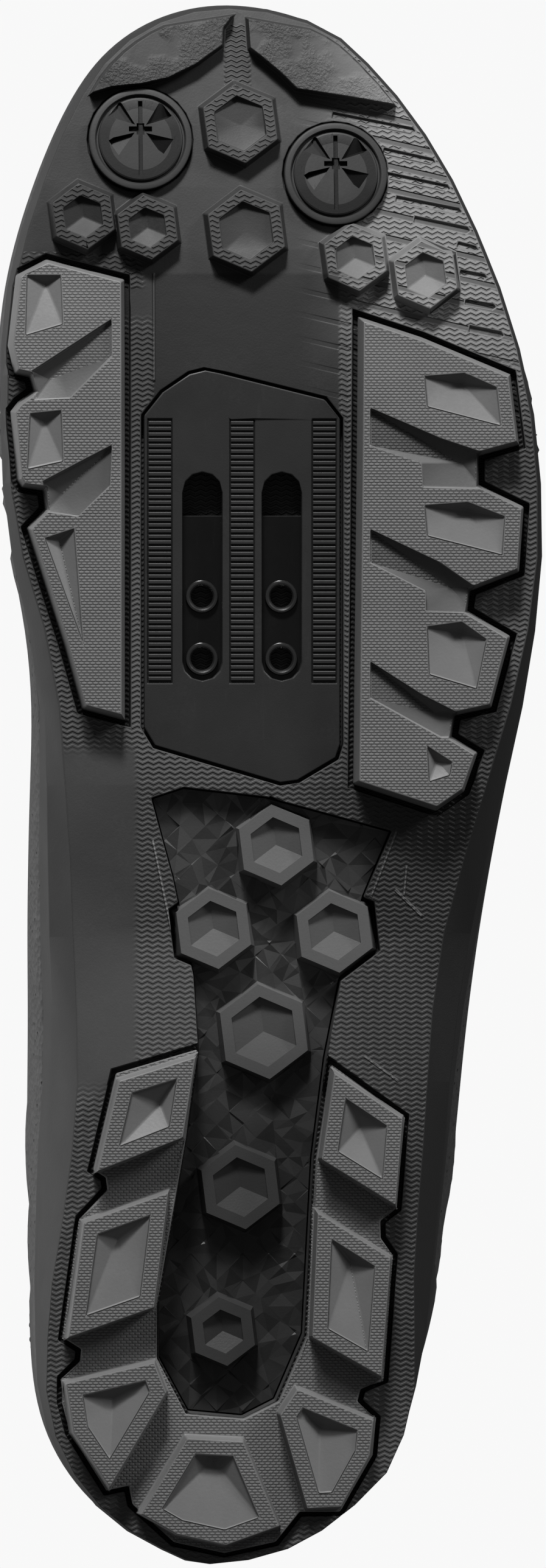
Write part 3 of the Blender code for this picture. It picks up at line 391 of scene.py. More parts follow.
def makeBaseFinish():
    finish = Finish("base_rubber")
    height = finish.attribute("height")
    turn = finish.attribute("turn")
    fore = finish.x.ramp(139, 142)
    flat = finish.mixed(fore, turn.ramp(0.90, 0.96), turn.ramp(0.990, 0.997))
    x0, x1, y0, y1 = baseLook["panel"]
    panel = finish.x.between(x0, x1) * finish.y.between(y0, y1)
    waist = finish.x.between(*baseLook["waist"], 3)
    smoothBand = waist * (finish.y / -1).ramp(18, 20)
    low = height.ramp(2.6, 3.4)
    plainToe = finish.x.ramp(216, 222) * low * (1 - finish.y.ramp(14, 22))
    # The lines stay in the stem between the toe wings and above the inner pad; the wings have a fine grain
    x0, x1, y0, y1 = baseLook["stem"]
    stem = finish.x.between(x0, x1) * finish.y.between(y0, y1)
    abovePad = finish.x.between(*baseLook["abovePad"]) * finish.y.ramp(-17, -20)
    plainToe = plainToe * (1 - stem.most(abovePad))
    wing = finish.x.ramp(253, 255) * (1 - low) * (1 - finish.y.between(-8, 7.5) * finish.x.ramp(262, 261))
    grit = finish.noise(0.5, 2) * wing * finish.noise(7, 2).ramp(0.40, 0.60)
    texture = flat * (1 - panel) * (1 - smoothBand) * (1 - plainToe) * (1 - wing) * (0.5 + fore * 0.5)
    lines = zigzag(finish, baseLook["zigPitch"], baseLook["zigPeriod"], baseLook["zigReach"])
    shadedDeep = finish.attribute("grooveShade")
    side = finish.attribute("side")
    # The outer side of the toe, with its grooved bands and a painted sheen
    front = finish.x.ramp(196, 224) * finish.y.ramp(8, 28)
    bandPlace = (finish.x + finish.y * baseLook["bandSlope"]) / baseLook["bandPitch"]
    bandGap = bandPlace.wave().ramp(baseLook["bandGap"], baseLook["bandGap"] - 0.12)
    bandGap = bandGap * front * flat * (1 - wing)
    texture = texture * (1 - bandGap)
    level = finish.mixed(finish.x.ramp(150, 212), baseLook["level"], baseLook["toeLevel"])
    level = level * (1 - finish.x.ramp(196, 226) * finish.y.ramp(0, -30) * 0.42)
    # Painted shade: the outer side of the waist and heel is made half as light
    level = level * (1 - finish.x.between(30, 148, 8) * finish.y.ramp(6, 24) * 0.5)
    # Moulded ribs: a low bump, and a painted highlight that makes them nearly three times as light
    ribs = stroke(finish, *baseLook["longRibHighlight"], 0.5)
    for ends in baseLook["ribs"]:
        ribs = ribs.most(stroke(finish, *ends, 0.4))
    level = level * (1 + ribs * 1.8)
    # Painted sheen: the outer side of the toe is made much lighter
    level = finish.mixed(front, level, baseLook["paintedSheenLevel"])
    level = level * (0.80 + lines * texture * 0.36) * (1 - bandGap * 0.35) * (1 - panel * 0.5)
    level = finish.mixed(side, level, baseLook["sideLevel"])
    level = level + dust(finish, baseLook["dust"]) * (1 - side)
    # Painted shade: faces in the grooves round the set-in parts are made nearly black
    level = finish.mixed(shadedDeep, level, baseLook["grooveShadeLevel"])
    roughness = finish.mixed(side, baseLook["roughness"] + finish.noise(5, 3) * 0.12,
                             baseLook["sideRoughness"] + finish.noise(9, 3) * 0.10)
    pores = finish.noise(0.35, 2) * 0.02 + finish.noise(2.6, 3) * 0.03
    finish.bump(lines * texture * baseLook["zigDepth"] + pores - bandGap * 0.3 + ribs * 0.25
                + grit * baseLook["gritDepth"])
    finish.set(level=level, roughness=roughness, specular=0.30)
    return finish


treadLook = {"level": 0.150, "facetLevel": 0.140, "wallLevel": 0.140, "roughness": 0.50, "brickLong": 1.0,
             "brickWide": 0.5, "brickDepth": 0.13, "dust": 0.014}


def makeTreadFinish():
    finish = Finish("tread_rubber")
    turn = finish.attribute("turn")
    flat = turn.ramp(0.990, 0.997)
    facet = turn.ramp(0.72, 0.80) * (1 - flat)
    # Bricks lie across the shoe, each row half a brick further
    rows = finish.x / treadLook["brickWide"]
    shift = (rows.math("FLOOR", rows) / 2).wave() * 0.5
    acrossBrick = (finish.y / treadLook["brickLong"] + shift).wave()
    bricks = acrossBrick.ramp(0.10, 0.45) * rows.wave().ramp(0.15, 0.60)
    level = finish.mixed(flat, treadLook["wallLevel"], treadLook["level"])
    level = finish.mixed(facet, level, treadLook["facetLevel"])
    level = level * (0.84 + finish.noise(11, 3) * 0.32) * (1 - flat * (1 - bricks) * 0.36)
    # Painted shade on the sloping floors of the notches
    level = level * (1 - finish.attribute("notchShade") * 0.5)
    level = level + dust(finish, treadLook["dust"])
    roughness = treadLook["roughness"] - facet * 0.06 + finish.noise(3, 3) * 0.12
    finish.bump(bricks * flat * treadLook["brickDepth"] + finish.noise(0.5, 3) * 0.02)
    finish.set(level=level, roughness=roughness, specular=0.42)
    return finish


archLook = {"level": 0.012, "spread": 0.030, "studShade": 1.3, "roughness": 0.36, "cell": 4.6, "tilt": 0.26}


def makeArchFinish():
    finish = Finish("arch_plastic")
    shade = finish.attribute("shade")
    # Painted light and shade: the plate is made lighter towards the waist and darker towards the heel, where
    # its recess is deep
    light = finish.mixed(finish.x.ramp(70, 112), 0.7, 1.9)
    level = (archLook["level"] + shade * archLook["spread"] + finish.noise(0.6, 2) * 0.004) * light
    finish.bump(finish.noise(0.4, 3) * 0.02)
    finish.set(level=level, roughness=archLook["roughness"] + finish.noise(4, 3) * 0.12, specular=0.4)
    return finish


def makePlainFinish(name, look):
    # Moulded plastic or metal with a faint grain, soft wear and dust
    finish = Finish(name)
    wear = finish.noise(8, 4)
    level = look["level"] * (0.88 + wear * 0.24) + dust(finish, look["dust"])
    # Painted shade on the faces that a look marks as sunk
    if "sunk" in look:
        level = level * (1 - finish.attribute("sunk") * look["sunk"])
    scratches = finish.noise(0.9, 3, finish.stretched(0.12, 1, 1)).ramp(0.60, 0.78)
    finish.bump(finish.noise(look["grain"], 3) * look["grainDepth"] - scratches * look["scratch"])
    finish.set(level=level, roughness=look["roughness"] + wear * 0.12 + scratches * 0.06,
               specular=look["specular"], metallic=look["metallic"])
    return finish


plateLook = {"level": 0.018, "roughness": 0.42, "grain": 0.3, "grainDepth": 0.012, "scratch": 0.02,
             "dust": 0.005, "specular": 0.4, "metallic": 0.0}
nutLook = {"level": 0.004, "roughness": 0.22, "grain": 0.5, "grainDepth": 0.008, "scratch": 0.01,
           "dust": 0.001, "specular": 0.45, "metallic": 0.0}
threadsLook = {"level": 0.12, "roughness": 0.16, "grain": 0.5, "grainDepth": 0.006, "scratch": 0.01,
               "dust": 0.001, "specular": 0.5, "metallic": 0.9}
# The plug's sunk share darkens its slits, cross and wedges: painted shade
capLook = {"level": 0.024, "roughness": 0.48, "grain": 0.4, "grainDepth": 0.012, "scratch": 0.015,
           "dust": 0.006, "specular": 0.25, "metallic": 0.0, "sunk": 0.9}

print("finishes of the sole")
baseFinish = makeBaseFinish()
treadFinish = makeTreadFinish()
archFinish = makeArchFinish()
plateFinish = makePlainFinish("plate_plastic", plateLook)
nutFinish = makePlainFinish("nut_steel", nutLook)
threadsFinish = makePlainFinish("thread_steel", threadsLook)
capFinish = makePlainFinish("cap_plastic", capLook)

# Tread pads and heel tread
treadShape = {"round": 0.25, "weld": 0.05, "top": 0.005, "snap": 0.12}
# The open notches of the pads, (x, y) round each: their floors get painted shade, darker than the pads'
# hollows
notchPlans = {
    "outer_pad": [[(204.7, 22.5), (197.3, 41.5), (190.8, 42.2), (190.8, 31.7), (198.2, 22.2)],
                  [(183.9, 22.2), (173.4, 40.9), (168.8, 39.7), (169.0, 31.7), (177.4, 22.5)],
                  [(160.5, 22.2), (151.6, 38.2), (146.4, 36.9), (153.4, 22.8)]],
    "inner_pad": [[(210.5, -37.2), (220.4, -23.0), (215.1, -23.0), (206.5, -30.4), (206.5, -36.9)],
                  [(191.5, -35.6), (198.2, -23.0), (194.2, -23.0), (185.9, -28.6), (186.2, -34.7)]],
    "heel_lugs": []}


def levelTop(point):
    # Points that all but lie in the tread's plane are brought into it
    drop = toeRise(point.x) + treadShape["top"] - point.z
    return (0, 0, drop if abs(drop) < treadShape["snap"] else 0)


def isInside(corners, x, y):
    inside = False
    for (x0, y0), (x1, y1) in zip(corners, corners[1:] + corners[:1]):
        if (y0 > y) != (y1 > y) and x < x0 + (x1 - x0) * (y - y0) / (y1 - y0):
            inside = not inside
    return inside


def markNotches(piece, plans):
    notchShade = piece.data.attributes.new("notchShade", "FLOAT", "FACE")
    for face in piece.data.polygons:
        x, y, z = face.center / mm
        sunk = z - toeRise(x) > 0.3
        notchShade.data[face.index].value = 1 if sunk and any(isInside(plan, x, y) for plan in plans) else 0


for nodeName, pieceName in (("medial_tread", "inner_pad"), ("lateral_tread", "outer_pad"),
                            ("heel_tread", "heel_lugs")):
    pad = copyNode(nodeName, pieceName, 0.4, treadShape["weld"], levelTop)
    roundEdges(pad, treadShape["round"])
    markSole(pad)
    markNotches(pad, notchPlans[pieceName])
    placePiece(pad, treadFinish, [nodeName])
print("tread pads")

# Base of the sole, with its side wall. Its ground between the pads slopes up behind slopeFrom.
outsoleShape = {"round": 0.22, "weld": 0.05, "frontGround": 4.6, "slopeFrom": 139, "slope": 0.137,
                "heelGround": 6.1, "grooveReach": 1.9, "grooveDeep": 2.5, "wallFrom": 3.0, "wallReach": 28}


def markShadedGrooves(piece, nodeNames):
    # Faces of the base beside or under a set-in part are in its groove, marked for painted shade, and the
    # others that stand upright are the side wall
    mesh = piece.data
    grooveShade = mesh.attributes.new("grooveShade", "FLOAT", "FACE")
    side = mesh.attributes.new("side", "FLOAT", "FACE")
    trees = [surfaceOf(frame["nodes"][name].data, shoeFrame.inverted()) for name in nodeNames]
    for face in mesh.polygons:
        x, y, z = face.center / mm
        height = z - toeRise(x)
        floor = outsoleShape["frontGround"] + max(outsoleShape["slopeFrom"] - x, 0) * outsoleShape["slope"]
        floor = min(floor, outsoleShape["heelGround"])
        near = min(tree.find_nearest(face.center)[3] for tree in trees) < outsoleShape["grooveReach"] * mm
        if near and floor < height < floor + outsoleShape["grooveDeep"]:
            grooveShade.data[face.index].value = 1
        elif height > outsoleShape["wallFrom"] and abs(face.normal.z) < 0.8 and not near:
            axis = Vector((min(max(x, 40), 235), 1))
            away = Vector((x, y)) - axis
            turned = Vector((face.normal.x, face.normal.y)).dot(away.normalized())
            if turned > 0.3 and away.length > outsoleShape["wallReach"]:
                side.data[face.index].value = 1


outsole = copyNode("outsole", "sole_base", 0.4, outsoleShape["weld"])
roundEdges(outsole, outsoleShape["round"])
markSole(outsole)
markShadedGrooves(outsole, ["medial_tread", "lateral_tread", "heel_tread", "cleat_plate"])
placePiece(outsole, baseFinish, ["outsole"])
print("base of the sole", len(outsole.data.polygons))

# Arch plate with its mosaic of small facets
plateFaceLine = [(16.6, 13.6), (55.4, 13.6), (91.4, 12.5), (110.8, 10.97), (144.0, 5.61)]


def makeArchPlate():
    plate = copyNode("arch_plate", "arch_mosaic")
    cell = archLook["cell"]
    for side in (1, -1):
        for k in range(-6, 48):
            startEdit(plate)
            bpy.ops.mesh.bisect(plane_co=(k * cell * mm, 0, 0), plane_no=(1, side, 0), threshold=0.01 * mm)
            endEdit()
    dice = Random(7)
    lift = {}
    mesh = plate.data
    for vert in mesh.vertices:
        point = vert.co / mm
        first = (point.x + point.y) / cell
        second = (point.x - point.y) / cell
        onGrid = abs(first - round(first)) < 0.01 and abs(second - round(second)) < 0.01
        if onGrid and abs(point.z - alongLine(plateFaceLine, point.x)) < 0.4:
            lift[vert.index] = (dice.random() - 0.5) * 2 * archLook["tilt"]
    for index, rise in lift.items():
        mesh.vertices[index].co.z += rise * mm
    startEdit(plate)
    bpy.ops.mesh.quads_convert_to_tris(quad_method="BEAUTY", ngon_method="BEAUTY")
    endEdit()
    shade = mesh.attributes.new("shade", "FLOAT", "FACE")
    for face in mesh.polygons:
        centre = face.center / mm
        onStud = centre.z < alongLine(plateFaceLine, centre.x) - 0.6
        shade.data[face.index].value = archLook["studShade"] if onStud else dice.random()
    return plate


archPlate = makeArchPlate()
placePiece(archPlate, archFinish, ["arch_plate"], 3)
print("arch plate", len(archPlate.data.polygons))

# Cleat plate, its ribbed rules and the threads behind its slots
cleatShape = {"round": 0.3, "middle": (179.6, -0.5), "ruleMove": 3.9, "ruleSpacing": 14.5, "ribs": 46,
              "ribPitch": 1.0, "ribWide": 0.64, "ribLong": 4.0, "ribTop": 5.04, "ribRoot": 5.5,
              "ribInset": 0.1, "ribRise": 0.08, "stripLong": 46.5, "stripReach": 2.3}


def moveRules(point):
    # The ends of the sunk strips that hold the rules go a little towards the toe
    x, y = cleatShape["middle"]
    off = min(abs(point.y - y - side * cleatShape["ruleSpacing"]) for side in (-1, 0, 1))
    low = x - cleatShape["ruleMove"] - cleatShape["stripLong"] / 2
    onEnd = min(abs(point.x - low), abs(point.x - low - cleatShape["stripLong"])) < 0.3
    moved = off < cleatShape["stripReach"] and onEnd and point.z < 6
    return (cleatShape["ruleMove"] if moved else 0, 0, 0)


cleatPlate = copyNode("cleat_plate", "cleat_plate_body", 0.4, 0.002, moveRules)
roundEdges(cleatPlate, cleatShape["round"])
placePiece(cleatPlate, plateFinish, ["cleat_plate"])


def makeRules():
    ribs = []
    x, y = cleatShape["middle"]
    low, high = cleatShape["ribTop"], cleatShape["ribRoot"]
    for side in (-1, 0, 1):
        start = x - cleatShape["ribPitch"] * (cleatShape["ribs"] - 1) / 2
        place = (start * mm, (y + side * cleatShape["ruleSpacing"]) * mm, (low + high) / 2 * mm)
        bpy.ops.mesh.primitive_cube_add(size=mm, location=place)
        rib = bpy.context.object
        rib.scale = (cleatShape["ribWide"], cleatShape["ribLong"], high - low)
        settle(rib)
        startEdit(rib, "DESELECT")
        pickFaces(rib, lambda centre, normal: normal.z < -0.9)
        bpy.ops.mesh.inset(thickness=cleatShape["ribInset"] * mm, depth=cleatShape["ribRise"] * mm)
        endEdit()
        array = rib.modifiers.new("ribs", "ARRAY")
        array.count = cleatShape["ribs"]
        array.use_relative_offset = False
        array.use_constant_offset = True
        array.constant_offset_displace = (cleatShape["ribPitch"] * mm, 0, 0)
        applyAll(rib)
        ribs.append(rib)
    return joinAll(ribs, "plate_rules")


placePiece(makeRules(), plateFinish)

# The threads' collar, (radius, step down) from its outer edge inwards, and then the turns of the thread
nutShape = {"round": 0.25, "holesX": (160.56, 171.56), "holesY": (-7.5, 6.5), "face": 7.15, "outer": 2.9,
            "collar": [(2.75, -0.25), (2.45, -0.05), (2.2, 0.1)], "inner": 1.95, "root": 2.2,
            "turns": 3, "pitch": 0.6}
nutPlate = copyNode("cleat_nut_plate", "nut_plate_body")
roundEdges(nutPlate, nutShape["round"])
placePiece(nutPlate, nutFinish, ["cleat_nut_plate"])


def makeThreads():
    # One raised collar with a thread inside it, copied to each hole
    bpy.ops.mesh.primitive_circle_add(vertices=32, radius=nutShape["outer"] * mm,
                                      location=(0, 0, nutShape["face"] * mm))
    collar = bpy.context.object
    settle(collar)
    startEdit(collar)
    radius = nutShape["outer"]
    half = nutShape["pitch"] / 2
    thread = [(nutShape["inner"], half), (nutShape["root"], half)] * nutShape["turns"]
    for size, drop in nutShape["collar"] + thread:
        bpy.ops.mesh.extrude_region_move(TRANSFORM_OT_translate={"value": (0, 0, drop * mm)})
        bpy.ops.transform.resize(value=(size / radius, size / radius, 1))
        radius = size
    bpy.ops.mesh.select_all(action="SELECT")
    bpy.ops.mesh.normals_make_consistent(inside=True)
    endEdit()
    collars = []
    for x in nutShape["holesX"]:
        for y in nutShape["holesY"]:
            copied = newObject("thread", collar.data.copy())
            copied.data.transform(Matrix.Translation((x * mm, y * mm, 0)))
            collars.append(copied)
    bpy.data.objects.remove(collar)
    return joinAll(collars, "bolt_threads")


placePiece(makeThreads(), threadsFinish)
print("cleat plate")

# Round spike plugs: ring, groove, face with a long slit, a small cross and four sunk wedges.
# The steps are the width and rise of each step inwards: rounded ring, groove, then the nearly flat face.
capShape = {"radius": 9.1, "low": 2.7, "height": 3.4, "crossAt": 1.8, "slitLong": 13.2, "slitWide": 0.75,
            "slitDeep": 1.1, "crossLong": 4.1, "crossWide": 0.9, "crossDeep": 1.2, "armDeep": 1.3,
            "wedgeAt": 4.3, "wedgeSize": 3.1, "wedgeTilt": 19, "wedgeTurns": (38, 142, 214, -34),
            "wedgeThick": 1.1, "wedgeSquash": 0.62, "wedgeHigh": 0.3, "sunkReach": 7.0, "sunkFrom": 0.215,
            "steps": [(0.12, 0.22), (0.25, 0.10), (0.65, 0.0), (0.18, -0.2), (0.12, -0.55), (0.3, 0.0),
                      (0.12, 0.5), (0.25, 0.17), (1.6, 0.05), (2.4, 0.03)]}


def cutWith(piece, cutter):
    modifier = piece.modifiers.new("cut", "BOOLEAN")
    modifier.operation = "DIFFERENCE"
    modifier.solver = "EXACT"
    modifier.object = cutter
    applyAll(piece)
    bpy.data.objects.remove(cutter)


def boxCutter(x, y, long, wide, shadedDeep):
    bpy.ops.mesh.primitive_cube_add(size=mm, location=(x * mm, y * mm, 0), scale=(long, wide, shadedDeep * 2))
    return bpy.context.object


def makeCap(pieceName, x, y):
    height = capShape["height"]
    bpy.ops.mesh.primitive_cylinder_add(vertices=64, radius=capShape["radius"] * mm, depth=height * mm,
                                        location=(0, 0, (0.5 + height / 2) * mm))
    cap = bpy.context.object
    cap.name = pieceName
    settle(cap)
    startEdit(cap, "DESELECT")
    pickFaces(cap, lambda centre, normal: normal.z < -0.9)
    for width, rise in capShape["steps"]:
        bpy.ops.mesh.inset(thickness=width * mm, depth=rise * mm)
    endEdit()
    cross = capShape["crossAt"]
    long, wide = capShape["crossLong"], capShape["crossWide"]
    cutWith(cap, boxCutter(0.2, 0, capShape["slitLong"], capShape["slitWide"], capShape["slitDeep"]))
    cutWith(cap, boxCutter(cross, 0, long * 0.5, wide * 1.5, capShape["armDeep"]))
    cutWith(cap, boxCutter(cross, 0, wide, long, capShape["crossDeep"]))
    for turn in capShape["wedgeTurns"]:
        away = radians(turn)
        along = sin(away) * capShape["wedgeAt"] + cross
        over = cos(away) * capShape["wedgeAt"]
        bpy.ops.mesh.primitive_cylinder_add(vertices=3, radius=capShape["wedgeSize"] * mm,
                                            depth=capShape["wedgeThick"] * mm, location=(0, 0, 0))
        wedge = bpy.context.object
        wedge.data.transform(Matrix.Rotation(radians(90), 4, "Z"))
        wedge.data.transform(Matrix.Scale(capShape["wedgeSquash"], 4, (0, 1, 0)))
        wedge.data.transform(Matrix.Rotation(radians(capShape["wedgeTilt"]), 4, "X"))
        wedge.data.transform(Matrix.Rotation(atan2(over, along - cross), 4, "Z"))
        wedge.data.transform(Matrix.Translation((along * mm, over * mm, capShape["wedgeHigh"] * mm)))
        cutWith(cap, wedge)
    # Faces sunk into the plug's face near its middle are marked for painted shade
    sunk = cap.data.attributes.new("sunk", "FLOAT", "FACE")
    for face in cap.data.polygons:
        away = Vector((face.center.x, face.center.y)).length / mm
        shadedDeep = away < capShape["sunkReach"] and face.center.z / mm > capShape["sunkFrom"]
        sunk.data[face.index].value = 1 if shadedDeep else 0
    cap.data.transform(Matrix.Translation((x * mm, y * mm, capShape["low"] * mm)))
    for vert in cap.data.vertices:
        vert.co.z += toeRise(vert.co.x / mm) * mm
    return cap


for nodeName, pieceName, x, y in (("spike_cap_medial", "inner_plug", 252.35, -18.18),
                                  ("spike_cap_lateral", "outer_plug", 246.25, 16.26)):
    placePiece(makeCap(pieceName, x, y), capFinish, [nodeName], 28)
print("spike plugs")

# Looks of leather, cloth and thread, and the upper's panels that the leather follows
upperShape = {"levels": 2, "capStart": 214, "capSlant": 0.30, "counterEnd": 52, "overlayRise": 0.55,
              "counterFoot": 30, "counterLean": 0.55, "counterTop": 71.5, "collarRoll": 1.7,
              "collarDeep": 17, "footRise": 30}
leatherLook = {"level": 0.058, "capLevel": 0.034, "roughness": 0.56, "grain": 1.1, "grainDepth": 0.16,
               "pinSpacing": 2.3, "pinSize": 0.16, "pinDepth": 0.35, "overlayStep": 0.5, "dust": 0.012}


def makeLeatherFinish():
    finish = Finish("upper_leather")
    toeEdge = finish.x + finish.y.math("ABSOLUTE", finish.y) * upperShape["capSlant"] - upperShape["capStart"]
    leaning = (finish.z - upperShape["counterFoot"]).most(0) * upperShape["counterLean"]
    heelEdge = upperShape["counterEnd"] - leaning - finish.x
    heelEdge = heelEdge.least(upperShape["counterTop"] - finish.z)
    edge = toeEdge.most(heelEdge)
    overlay = edge.ramp(-0.25, 0.25)
    # Painted shadow in a thin line beside the raised edge of the toe cap and heel counter
    edgeShadow = edge.between(-0.7, -0.1, 0.3)
    grain = finish.cells(leatherLook["grain"])
    holes = finish.cells(leatherLook["pinSpacing"]).ramp(leatherLook["pinSize"], leatherLook["pinSize"] * 0.5)
    holes = holes * (1 - overlay)
    level = finish.mixed(overlay, leatherLook["level"], leatherLook["capLevel"])
    level = level * (0.80 + finish.noise(1.3, 3) * 0.4) * (1 - holes * 0.9)
    level = level + dust(finish, leatherLook["dust"])
    level = level * (1 - edgeShadow * 0.7) * (0.85 + finish.noise(18, 3) * 0.3)
    roughness = leatherLook["roughness"] + finish.noise(4, 3) * 0.16 - overlay * 0.10
    finish.bump(grain * leatherLook["grainDepth"] * (1 - overlay * 0.6) - holes * leatherLook["pinDepth"]
                + overlay * leatherLook["overlayStep"] + finish.noise(0.4, 2) * 0.03)
    finish.set(level=level, roughness=roughness, specular=0.30)
    return finish


def makeClothFinish(name, look):
    # Fine threads that cross each other, with a soft nap
    finish = Finish(name)
    warp = (finish.x / look["thread"]).wave()
    weft = (finish.z / look["thread"] + finish.y / look["thread"]).wave()
    weave = warp.ramp(0.1, 0.8) * weft.ramp(0.1, 0.8)
    nap = finish.noise(0.5, 4)
    level = look["level"] * (0.65 + weave * 0.4 + nap * 0.35)
    finish.bump(weave * look["depth"] + nap * look["nap"])
    finish.set(level=level, roughness=look["roughness"], specular=0.25, sheen=look["sheen"],
               sheenRoughness=0.5)
    return finish


tongueLook = {"level": 0.024, "thread": 1.1, "depth": 0.16, "nap": 0.08, "roughness": 0.85, "sheen": 0.15}
liningLook = {"level": 0.020, "thread": 0.8, "depth": 0.10, "nap": 0.08, "roughness": 0.90, "sheen": 0.20}
insoleLook = {"level": 0.018, "thread": 0.7, "depth": 0.08, "nap": 0.12, "roughness": 0.92, "sheen": 0.20}
strapLook = {"level": 0.030, "thread": 0.9, "depth": 0.12, "nap": 0.05, "roughness": 0.70, "sheen": 0.08}
threadLook = {"level": 0.19, "thread": 0.3, "depth": 0.05, "nap": 0.03, "roughness": 0.65, "sheen": 0.10}
leatherFinish = makeLeatherFinish()
tongueFinish = makeClothFinish("tongue_fabric", tongueLook)
liningFinish = makeClothFinish("lining_fabric", liningLook)
insoleFinish = makeClothFinish("insole_fabric", insoleLook)
strapFinish = makeClothFinish("strap_fabric", strapLook)
threadFinish = makeClothFinish("stitch_thread", threadLook)

# Upper: a soft skin over the solid, with a toe cap, a heel counter, a padded collar and creases
# The open edge of the heel, (x, height)
collarLine = [(8.3, 93.6), (23.5, 86.3), (41.5, 77.6), (66.5, 71.3), (90.0, 74.2), (110.8, 86.3),
              (123.3, 95.5)]
# Creases: where they cross the side (x, height), how far they run, their turn, width and depth
creases = [(196, 30, 26, 72, 5.0, 1.3), (186, 34, 24, 80, 6.0, 1.0), (206, 26, 20, 66, 4.5, 0.8),
           (60, 56, 22, 25, 6.5, 1.1), (72, 50, 20, 32, 6.0, 0.8), (36, 60, 14, 10, 6.0, 0.7)]


def upperAxis(point):
    # Middle of the foot near a point, to tell outside from inside
    x = min(max(point.x, 38), 226)
    return Vector((x, 3 - 4 * smooth(x, 60, 200), 46 - 14 * smooth(x, 120, 230)))


def creaseDepth(point):
    total = 0.0
    for x, z, reach, turn, width, depth in creases:
        along = Vector((cos(radians(turn)), sin(radians(turn))))
        away = Vector((point.x - x, point.z - z))
        run = away.dot(along)
        over = away.dot(Vector((-along.y, along.x)))
        fade = 1 - smooth(abs(run), reach * 0.45, reach)
        trough = max(0, 1 - (over / width) ** 2) ** 2
        ridge = max(0, 1 - ((abs(over) - width * 1.15) / (width * 0.6)) ** 2) ** 2
        total += (trough - 0.45 * ridge) * depth * fade
    return total


def counterEdge(z):
    # Where the heel counter ends at a height
    return upperShape["counterEnd"] - max(z - upperShape["counterFoot"], 0) * upperShape["counterLean"]


def overlayShare(point):
    # 1 on the toe cap and the heel counter
    cap = smooth(point.x + abs(point.y) * upperShape["capSlant"], upperShape["capStart"] - 1.2,
                 upperShape["capStart"] + 1.2)
    top = upperShape["counterTop"]
    counter = smooth(counterEdge(point.z) - point.x, -1.2, 1.2) * (1 - smooth(point.z, top - 1.5, top + 1.5))
    return max(cap, counter)


def makeUpper():
    upper = copyNode("upper", "upper_skin", 0)
    subdivide(upper, upperShape["levels"])
    mesh = upper.data
    moves = []
    for vert in mesh.vertices:
        point = vert.co / mm
        outside = vert.normal.dot((point - upperAxis(point)).normalized()) > 0
        share = overlayShare(point)
        push = -creaseDepth(point)
        roll = 0.0
        if point.x < 128:
            below = alongLine(collarLine, point.x) - point.z
            roll = max(0, 1 - ((below - 8) / (upperShape["collarDeep"] / 2)) ** 2)
            roll = roll * upperShape["collarRoll"] * (1 - smooth(point.x, 100, 128))
        if outside:
            push += share * upperShape["overlayRise"] + roll * 0.6
        else:
            push = -push + roll
        low = smooth(point.z - toeRise(point.x), upperShape["footRise"] - 12, upperShape["footRise"] - 2)
        moves.append(vert.normal * push * (low if point.x < 150 else 1) * mm)
    moveAll(mesh, moves)
    mesh.materials.append(leatherFinish.material)
    mesh.materials.append(liningFinish.material)
    for face in mesh.polygons:
        centre = face.center / mm
        if face.normal.dot((centre - upperAxis(centre)).normalized()) < 0:
            face.material_index = 1
    return upper


upper = makeUpper()
print("upper", len(upper.data.polygons))

# Stitches: one is modelled and copied along each line
stitchShape = {"long": 2.2, "wide": 0.6, "thick": 0.4, "spacing": 3.2, "sunk": 0.06, "longestStep": 12,
               "capSeams": (2.4, 5.0), "counterInset": 2.2, "counterGap": 2.6, "rimSeam": (17.5, 42, 118),
               "throatSeam": [(140, 78), (158, 66), (180, 55), (192, 50)]}
skin = surfaceOf(upper.data)


def onUpper(start, towards):
    # Where a line from outside meets the upper, and which way it faces there
    hit, normal, index, far = skin.ray_cast(Vector(start) * mm, Vector(towards).normalized())
    return (hit, normal) if hit else None


def sideLine(pairs, side, count=40):
    # Points on one side of the upper from (x, height) pairs
    hits = []
    for k in range(count + 1):
        t = k / count * (len(pairs) - 1)
        i = min(int(t), len(pairs) - 2)
        x = pairs[i][0] + (pairs[i + 1][0] - pairs[i][0]) * (t - i)
        z = pairs[i][1] + (pairs[i + 1][1] - pairs[i][1]) * (t - i)
        hits.append(onUpper((x, side * 90, z), (0, -side, 0)))
    return [hit for hit in hits if hit]


def capLine(offset, count=60):
    # Points over the toe along the edge of its cap
    hits = []
    for k in range(count + 1):
        turn = pi * (0.02 + 0.96 * k / count)
        away = Vector((0, cos(turn), sin(turn)))
        x = upperShape["capStart"] + offset
        for guess in range(4):
            start = Vector((x, 0, 22)) + away * 90
            hit = onUpper(start, -away)
            if hit:
                x = upperShape["capStart"] + offset - abs(hit[0].y / mm) * upperShape["capSlant"]
        if hit:
            hits.append(hit)
    return hits


def rimLine(drop, x0, x1, side, count=60):
    # Points a given way under the open edge at the heel
    places = [x0 + (x1 - x0) * k / 12 for k in range(13)]
    return sideLine([(x, alongLine(collarLine, x) - drop) for x in places], side, count)


def makeStitch():
    bpy.ops.mesh.primitive_uv_sphere_add(segments=6, ring_count=4, radius=0.5 * mm)
    stitch = bpy.context.object
    startEdit(stitch)
    bpy.ops.transform.resize(value=(stitchShape["wide"], stitchShape["thick"], stitchShape["long"]))
    endEdit()
    stitch.data.transform(Matrix.Rotation(radians(90), 4, "Y"))
    return stitch


